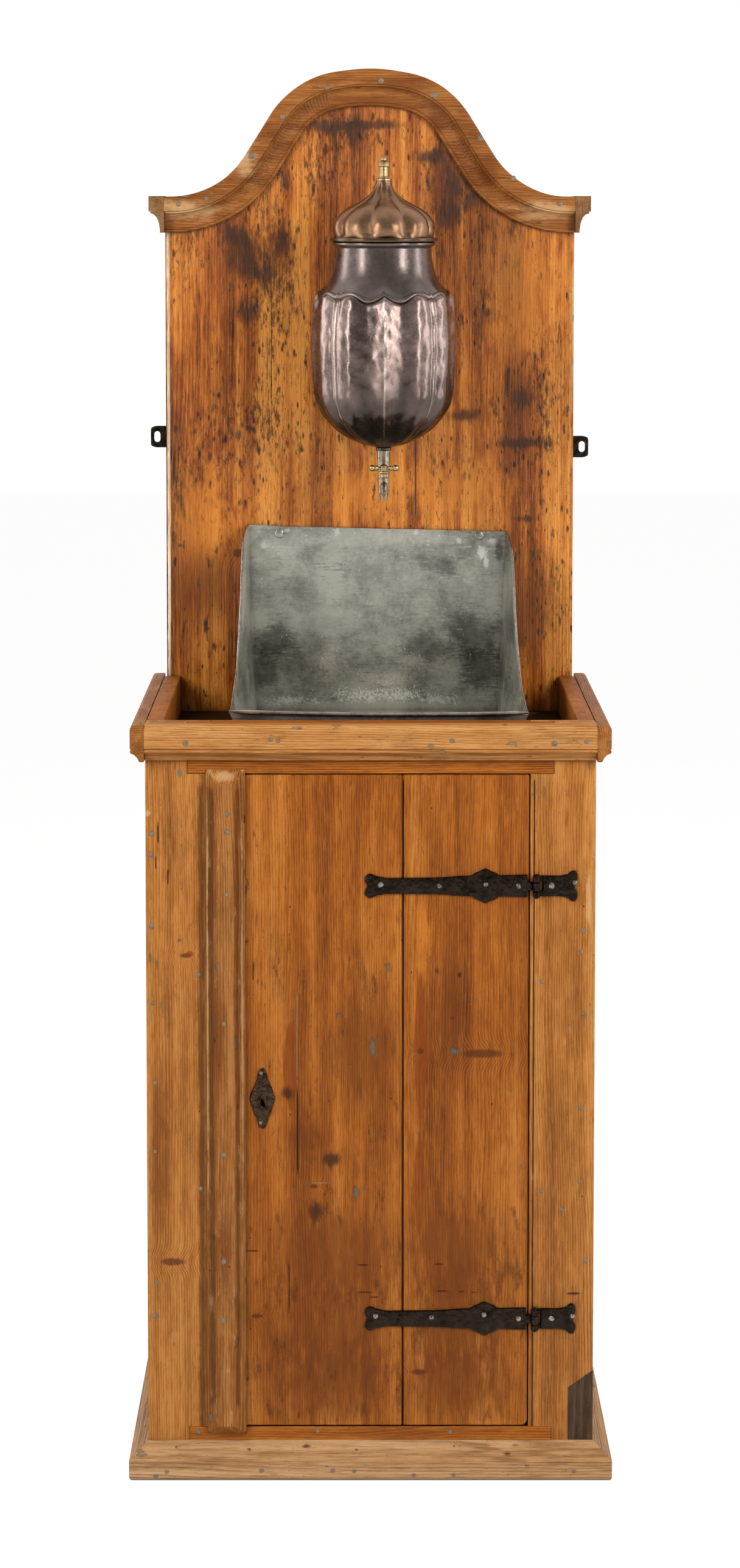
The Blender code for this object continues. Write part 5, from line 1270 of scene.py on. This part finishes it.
def make_hinge(name, z):
    strap = bmesh.new()
    forged(strap, z, lambda v: lobes(v, STRAP_TIP, 1), lambda v: STRAP_END, lambda x: eased(STRAP_HALF, x),
           90)
    forged(strap, z, lambda v: -0.0125, lambda v: -0.003, lambda x: TONGUE_HALF - 0.0004, 4)
    eye_roll(strap, z - TONGUE_HALF, z + TONGUE_HALF)
    leaf = bmesh.new()
    forged(leaf, z, lambda v: LEAF_START, lambda v: lobes(v, LEAF_TIP, -1), lambda x: eased(LEAF_HALF, x), 26)
    for way in (-1, 1):
        middle = z + way * (KNUCKLE_LOW + KNUCKLE_HIGH) / 2
        reach = (KNUCKLE_HIGH - KNUCKLE_LOW) / 2
        forged(leaf, middle, lambda v: 0.003, lambda v: 0.0085, lambda x: reach - 0.0004, 4)
        eye_roll(leaf, middle - reach, middle + reach)
    made = add_piece("forged_strap_" + name, strap, iron, "iron", "door", "hinge_strap_" + name)
    held = add_piece("forged_leaf_" + name, leaf, iron, "iron", "stand", "hinge_leaf_" + name)
    return made, held


straps = {}
leaves = {}
for hinge_name, hinge_z in HINGES.items():
    straps[hinge_name], leaves[hinge_name] = make_hinge(hinge_name, hinge_z)
print("hinges:", sorted(straps))

# %% [markdown]
# ## The escutcheon
# The plate round the keyhole is a soft diamond with a small lobe at each end, and a raised lip runs
# round a slanted keyhole. Rings between the hole and the outline carry its height.

# %% Escutcheon
PLATE_X = -0.143
PLATE_Z = 0.5102
PLATE_END = 0.0405
PLATE_HALF = ((-PLATE_END, 0.0015), (-0.039, 0.0042), (-0.033, 0.0062), (-0.027, 0.0074), (-0.021, 0.0106),
              (-0.014, 0.0128), (-0.0065, 0.0152), (0.0, 0.0167), (0.006, 0.0152), (0.013, 0.0126),
              (0.021, 0.0092), (0.0275, 0.0064), (0.0295, 0.0066), (0.034, 0.0058), (0.039, 0.0030),
              (PLATE_END, 0.0010))
HOLE_DROP = 0.0055
HOLE_LONG = 0.0068
HOLE_WIDE = 0.0025
HOLE_LEAN = math.radians(-66)
PLATE_LIFT = ((0.0, 0.0030), (0.05, 0.0038), (0.16, 0.0036), (0.26, 0.0024), (0.45, 0.0022), (0.70, 0.0021),
              (0.93, 0.0018), (1.0, 0.0009))
LIFT_STEPS = (0.0, 0.05, 0.10, 0.16, 0.21, 0.26, 0.35, 0.45, 0.58, 0.70, 0.82, 0.93, 1.0)


def plate_outline(steps):
    """Points round the plate, from its top down the right side and up the left."""
    right = []
    for index in range(steps):
        up = PLATE_END * math.cos(math.pi * (index + 0.5) / steps)
        right.append((eased(PLATE_HALF, up), up))
    return right + [(-across, up) for across, up in reversed(right)]


def make_escutcheon():
    bm = bmesh.new()
    outline = plate_outline(44)
    rings = []
    for step in LIFT_STEPS:
        ring = []
        for across, up in outline:
            angle = math.atan2(up + HOLE_DROP, across)
            turned_by = angle - HOLE_LEAN
            reach = 1 / math.hypot(math.cos(turned_by) / HOLE_LONG, math.sin(turned_by) / HOLE_WIDE)
            inner = Vector((reach * math.cos(angle), reach * math.sin(angle) - HOLE_DROP))
            place = inner.lerp(Vector((across, up)), step)
            lift = eased(PLATE_LIFT, step) + 0.0003 * hand.noise(Vector((place.x * 150, 4.0, place.y * 150)))
            ring.append(bm.verts.new((PLATE_X + place.x, PLATE_BACK_Y - lift, PLATE_Z + place.y)))
        rings.append(ring)
    for rim in (rings[-1], rings[0]):
        rings.append([bm.verts.new((v.co.x, PLATE_BACK_Y, v.co.z)) for v in rim])
    stitch(bm, rings, loop=True)
    return add_piece("lipped_escutcheon", bm, plate_iron, "iron", "door", "escutcheon")


key_plate = make_escutcheon()

# %% [markdown]
# ## The crest
# One board was sawn to the swept line and moulded along it: a flat fascia, a fine groove, a hollow and
# a small bead at its foot. The gouge that cut the hollow left ripples on its slopes, like a twisted
# rope on the left. The moulding's section is swept along arcs, and the ripples are part of the mesh.

# %% Crest sizes
CREST_TOP_Z = 1.8816
CREST_HALF = 0.292
CREST_RISE = 0.18
CROWN_R = 0.28803
SHOULDER_ARC_R = 0.13152
HOLLOW_R = 0.12498
CROWN_ANGLE = math.radians(11)
SLOPE_ANGLE = math.radians(58)
CREST_REACH = 0.022
CREST_H = 0.052
FASCIA_H = 0.022
QUIRK = 0.0025
FILLET_H = 0.005
FILLET_REACH = 0.006
CREST_SEAT = 0.0003
CREST_STEP = 0.0011
COVE_STEPS = 16
ROPE = (-0.124, -0.058, 0.0066, 0.0021, 1.1)
COMB_LEFT = (-0.212, -0.142, 0.0040, 0.0010, 2.6)
COMB_RIGHT = (0.070, 0.215, 0.0046, 0.0008, -2.2)


def stepped(length):
    """Shares of a length, about a step apart."""
    count = max(1, round(length / CREST_STEP))
    return [index / count for index in range(1, count + 1)]


def along_arc(centre, radius, start, end, way):
    """Places on an arc and the slope there."""
    spots = []
    for part in stepped(abs(end - start) * radius):
        angle = start + (end - start) * part
        x = centre[0] + way * radius * math.sin(angle)
        spots.append((x, centre[1] + way * radius * math.cos(angle), angle))
    return spots


def along_line(start, end, angle):
    """Places on a straight line, which has one slope."""
    start, end = Vector(start), Vector(end)
    return [(*start.lerp(end, part), angle) for part in stepped((end - start).length)]


def crest_line():
    """The crest's upper line with its slope, from the left end to the right."""
    half = [(0.0, CREST_TOP_Z, 0.0)]
    half += along_arc((0.0, CREST_TOP_Z - CROWN_R), CROWN_R, 0.0, CROWN_ANGLE, 1)
    reach = CROWN_R - SHOULDER_ARC_R
    shoulder = (reach * math.sin(CROWN_ANGLE), CREST_TOP_Z - CROWN_R + reach * math.cos(CROWN_ANGLE))
    half += along_arc(shoulder, SHOULDER_ARC_R, CROWN_ANGLE, SLOPE_ANGLE, 1)
    end_z = CREST_TOP_Z - CREST_RISE
    fall = half[-1][1] - end_z - HOLLOW_R * (1 - math.cos(SLOPE_ANGLE))
    run = fall / math.tan(SLOPE_ANGLE)
    foot = (half[-1][0] + run, half[-1][1] - fall)
    half += along_line(half[-1][:2], foot, SLOPE_ANGLE)
    hollow = (foot[0] + HOLLOW_R * math.sin(SLOPE_ANGLE), foot[1] + HOLLOW_R * math.cos(SLOPE_ANGLE))
    half += along_arc(hollow, HOLLOW_R, SLOPE_ANGLE, 0.0, -1)
    half += along_line(half[-1][:2], (CREST_HALF, half[-1][1]), 0.0)
    return [(-x, z, -angle) for x, z, angle in reversed(half[1:])] + half


def crest_section():
    """Depth below the line, reach in front of the back board, and the place across the hollow."""
    section = [(0.0, CREST_SEAT, 0), (0.0, CREST_REACH - 0.0016, 0), (0.0005, CREST_REACH - 0.0005, 0)]
    section += [(0.0016, CREST_REACH, 0), (0.008, CREST_REACH, 0), (0.015, CREST_REACH, 0)]
    section += [(FASCIA_H - 0.0014, CREST_REACH, 0), (FASCIA_H - 0.0004, CREST_REACH - 0.0005, 0)]
    section += [(FASCIA_H, CREST_REACH - QUIRK, 0)]
    arms = [(FASCIA_H + QUIRK, CREST_REACH - QUIRK), (FASCIA_H + QUIRK + 0.001, FILLET_REACH + 0.002),
            (CREST_H - FILLET_H, FILLET_REACH)]
    for index, (depth, reach) in enumerate(bezier(arms, COVE_STEPS)):
        section.append((depth, reach, index / COVE_STEPS))
    section += [(CREST_H - FILLET_H + 0.0006, FILLET_REACH + 0.0016, 0)]
    section += [(CREST_H - 0.0028, FILLET_REACH + 0.0024, 0)]
    section += [(CREST_H - 0.0008, FILLET_REACH + 0.0016, 0), (CREST_H, FILLET_REACH - 0.0006, 0)]
    return section + [(CREST_H, CREST_SEAT, 0)]


# %% Crest
def ripple(x, gone, across):
    """How far the gouge's ripples stand out at a place of the hollow."""
    lift = 0.0
    for low, high, pitch, height, slant in (ROPE, COMB_LEFT, COMB_RIGHT):
        inside = smooth((x - low) / 0.012) * smooth((high - x) / 0.012)
        ridge = abs(math.sin(math.pi * (gone / pitch + slant * across))) - 0.5
        lift += height * inside * ridge * math.sin(math.pi * across) ** 0.8
    return lift


def make_crest():
    bm = bmesh.new()
    rings = []
    gone = 0.0
    line = crest_line()
    for index, (x, z, angle) in enumerate(line):
        if index:
            gone += math.dist(line[index - 1][:2], (x, z))
        wave = 0.0007 * (hand.noise(Vector((gone * 18, 2.0, 0))) + 1) * smooth(abs(x) / 0.05)
        ring = []
        for depth, reach, across in crest_section():
            reach += ripple(x, gone, across) if across else 0.0
            depth += wave if depth < FASCIA_H / 2 else 0.0
            place = (x - depth * math.sin(angle), back_face - reach, z - depth * math.cos(angle))
            ring.append(bm.verts.new(place))
        rings.append(ring)
    capped(bm, rings)
    crest = add_piece("swept_crest", bm, crest_pine, "worn_pine", "stand", "crest_moulding", crease=50)
    print("crest:", len(crest.data.polygons), "faces")
    return crest


swept_crest = make_crest()

# %% [markdown]
# ## The worn edge
# The left edge of the back board is rubbed round and pale, and its near-white colour is partly a painted
# highlight. A thin uneven bar lies along it.


# %% The worn edge of the back board
EDGE_R = 0.0034
EDGE_IN = 0.0038
EDGE_BACK = 0.0026
EDGE_STEPS = 80


def make_worn_edge():
    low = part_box("back_board")[0]
    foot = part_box("tray_moulding_left")[1][2]
    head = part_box("crest_moulding")[0][2]
    line = []
    for step in range(EDGE_STEPS + 1):
        z = foot + (head - foot) * step / EDGE_STEPS
        wave = hand.noise(Vector((3.0, 7.0, z * 22)))
        line.append(Vector((low[0] + EDGE_IN + 0.0003 * wave, low[1] + EDGE_BACK, z)))
    # Pale rubbed wood, made near white as a painted highlight along the edge.
    worn = pine("edge_pine", "Z", PALE_WEAR_AND_HIGHLIGHT, (-0.9, 0.05), 0.0030, 47.0, lines=0.3, gloss=0.26, shine=0.9)
    bar = swept(line, lambda t: EDGE_R + 0.0003 * hand.noise(Vector((t * 50, 5.0, 1.0))), 16)
    add_piece("worn_edge", bar, worn, "pine", "stand")


make_worn_edge()

# %% [markdown]
# ## Nails
# Hand-made nails have low, uneven heads. Each one is a small dome, pushed out of round, set square
# to the surface that the photograph shows it on.

# %% Nail heads
NAIL_R = 0.0034
NAIL_RINGS = ((1.0, -0.35), (1.0, 0.15), (0.86, 0.62), (0.50, 0.92))
dice = random.Random(7)


def add_nail(bm, point, out, radius, height, sides):
    """One head: rings that close towards its middle, on a foot that is sunk into the wood."""
    turn = out.to_track_quat("Z", "Y").to_matrix()
    start = dice.uniform(0, math.tau)
    uneven = [dice.uniform(0.88, 1.1) for _ in range(sides)]
    rings = []
    for across, up in NAIL_RINGS:
        ring = []
        for step in range(sides):
            angle = start + math.tau * step / sides
            reach = radius * across * uneven[step]
            local = Vector((reach * math.cos(angle), reach * math.sin(angle), height * up))
            ring.append(bm.verts.new(point + turn @ local))
        rings.append(ring)
    stitch(bm, rings)
    bm.faces.new(rings[0])
    tip = bm.verts.new(point + turn @ Vector((0, 0, height)))
    for step in range(sides):
        bm.faces.new((rings[-1][step - 1], rings[-1][step], tip))


def nails(name, carrier, spots, body, finish, radius=NAIL_R, height=0.0011, sides=9, slot="iron"):
    """A group of nails, each under a pixel of the photograph, on one carrying object."""
    bm = bmesh.new()
    count = 0
    for px, py in spots:
        point, out = touch(carrier, px, py)
        if point is None:
            print("no place for a nail of", name, "at", px, py)
            continue
        add_nail(bm, point, out, radius * dice.uniform(0.85, 1.15), height, sides)
        count += 1
    add_piece(name, bm, finish, slot, body, crease=50)
    print(name, count)


# %% Nails in the wood
CREST_NAIL_R = 0.0044
WOOD_NAILS = (
    ("tray_nails", "tray_moulding_front", "stand",
     ((305, 1221), (444, 1215), (457, 1217), (708, 1226), (743, 1217), (911, 1221), (964, 1219))),
    ("stile_left_nails", "stile_left", "stand",
     ((249, 1369), (247, 1404), (249, 1522), (251, 1648), (326, 1602), (255, 1779), (255, 1892), (330, 1953),
      (257, 2107), (255, 2162))),
    ("stile_right_nails", "stile_right", "stand",
     ((959, 1528), (955, 1564), (890, 1613), (959, 1665), (955, 1821), (889, 1956), (952, 1941), (924, 1987),
      (962, 2071), (941, 2298))),
    ("strip_nails", "cover_strip", "door",
     ((373, 1337), (373, 1367), (372, 1470), (368, 1682), (367, 1897), (368, 2073), (368, 2170))),
    ("bottom_rail_nails", "bottom_rail", "stand", ((326, 2353), (522, 2351), (739, 2353))),
)
CREST_NAILS = ((293, 335), (340, 326), (413, 256), (464, 192), (538, 143), (626, 133), (714, 156), (789, 227),
               (844, 293), (920, 335))
nails("crest_nails", swept_crest, CREST_NAILS, "stand", nail_iron, CREST_NAIL_R)
for group, node, body, spots in WOOD_NAILS:
    nails(group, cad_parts[node], spots, body, nail_iron)

# %% Nails in the metal
ROSE = {"radius": 0.0044, "height": 0.0030, "sides": 7}
HINGE_NAILS = (
    ("strap_upper", straps["upper"], "door", ((625, 1453), (722, 1455), (799, 1453), (852, 1455))),
    ("strap_lower", straps["lower"], "door", ((617, 2162), (709, 2164), (795, 2160), (852, 2166))),
    ("leaf_upper", leaves["upper"], "stand", ((906, 1455), (945, 1450))),
    ("leaf_lower", leaves["lower"], "stand", ((906, 2166), (941, 2162))),
)
for group, carrier, body, spots in HINGE_NAILS:
    nails(group + "_nails", carrier, spots, body, worn_iron, **ROSE)
nails("escutcheon_nails", key_plate, ((429, 1763), (428, 1845)), "door", nail_iron, 0.0028, 0.0016)
nails("basin_nails", basin, ((459, 876), (788, 880)), "stand", tin, 0.0060, 0.0016, 12, "tin")

# %% [markdown]
# ## The floor
# A pale floor catches the object's shadow. Seen by the camera it is lifted to the white of the
# background, so that only the shadow remains.


# %% Floor
STAGE_HALF = 12.0
STAGE_DROP = 0.0005
STAGE_GREY = (0.86, 0.86, 0.86, 1.0)
STAGE_GLOW = 1.2
STAGE_LIFT = 0.75


def make_floor():
    bm = bmesh.new()
    bmesh.ops.create_grid(bm, x_segments=1, y_segments=1, size=STAGE_HALF)
    mesh = bpy.data.meshes.new("floor")
    bm.to_mesh(mesh)
    bm.free()
    floor = bpy.data.objects.new("floor", mesh)
    scene.collection.objects.link(floor)
    floor.location.z = -STAGE_DROP
    material, shader, place = new_finish("pale_floor")
    feed(shader, "Base Color", STAGE_GREY)
    feed(shader, "Roughness", 0.9)
    glow = place.node("ShaderNodeEmission", {"Color": (1, 1, 1, 1), "Strength": STAGE_GLOW})
    outputs = place.node("ShaderNodeLightPath").socket.node.outputs
    shown = place.math("MAXIMUM", Sock(outputs["Is Camera Ray"]), Sock(outputs["Is Glossy Ray"]))
    mix = place.node("ShaderNodeMixShader", {0: shown * STAGE_LIFT, 2: glow})
    tree = material.node_tree
    tree.links.new(shader.outputs[0], mix.socket.node.inputs[1])
    tree.links.new(mix.socket, tree.nodes["Material Output"].inputs["Surface"])
    mesh.materials.append(material)


make_floor()
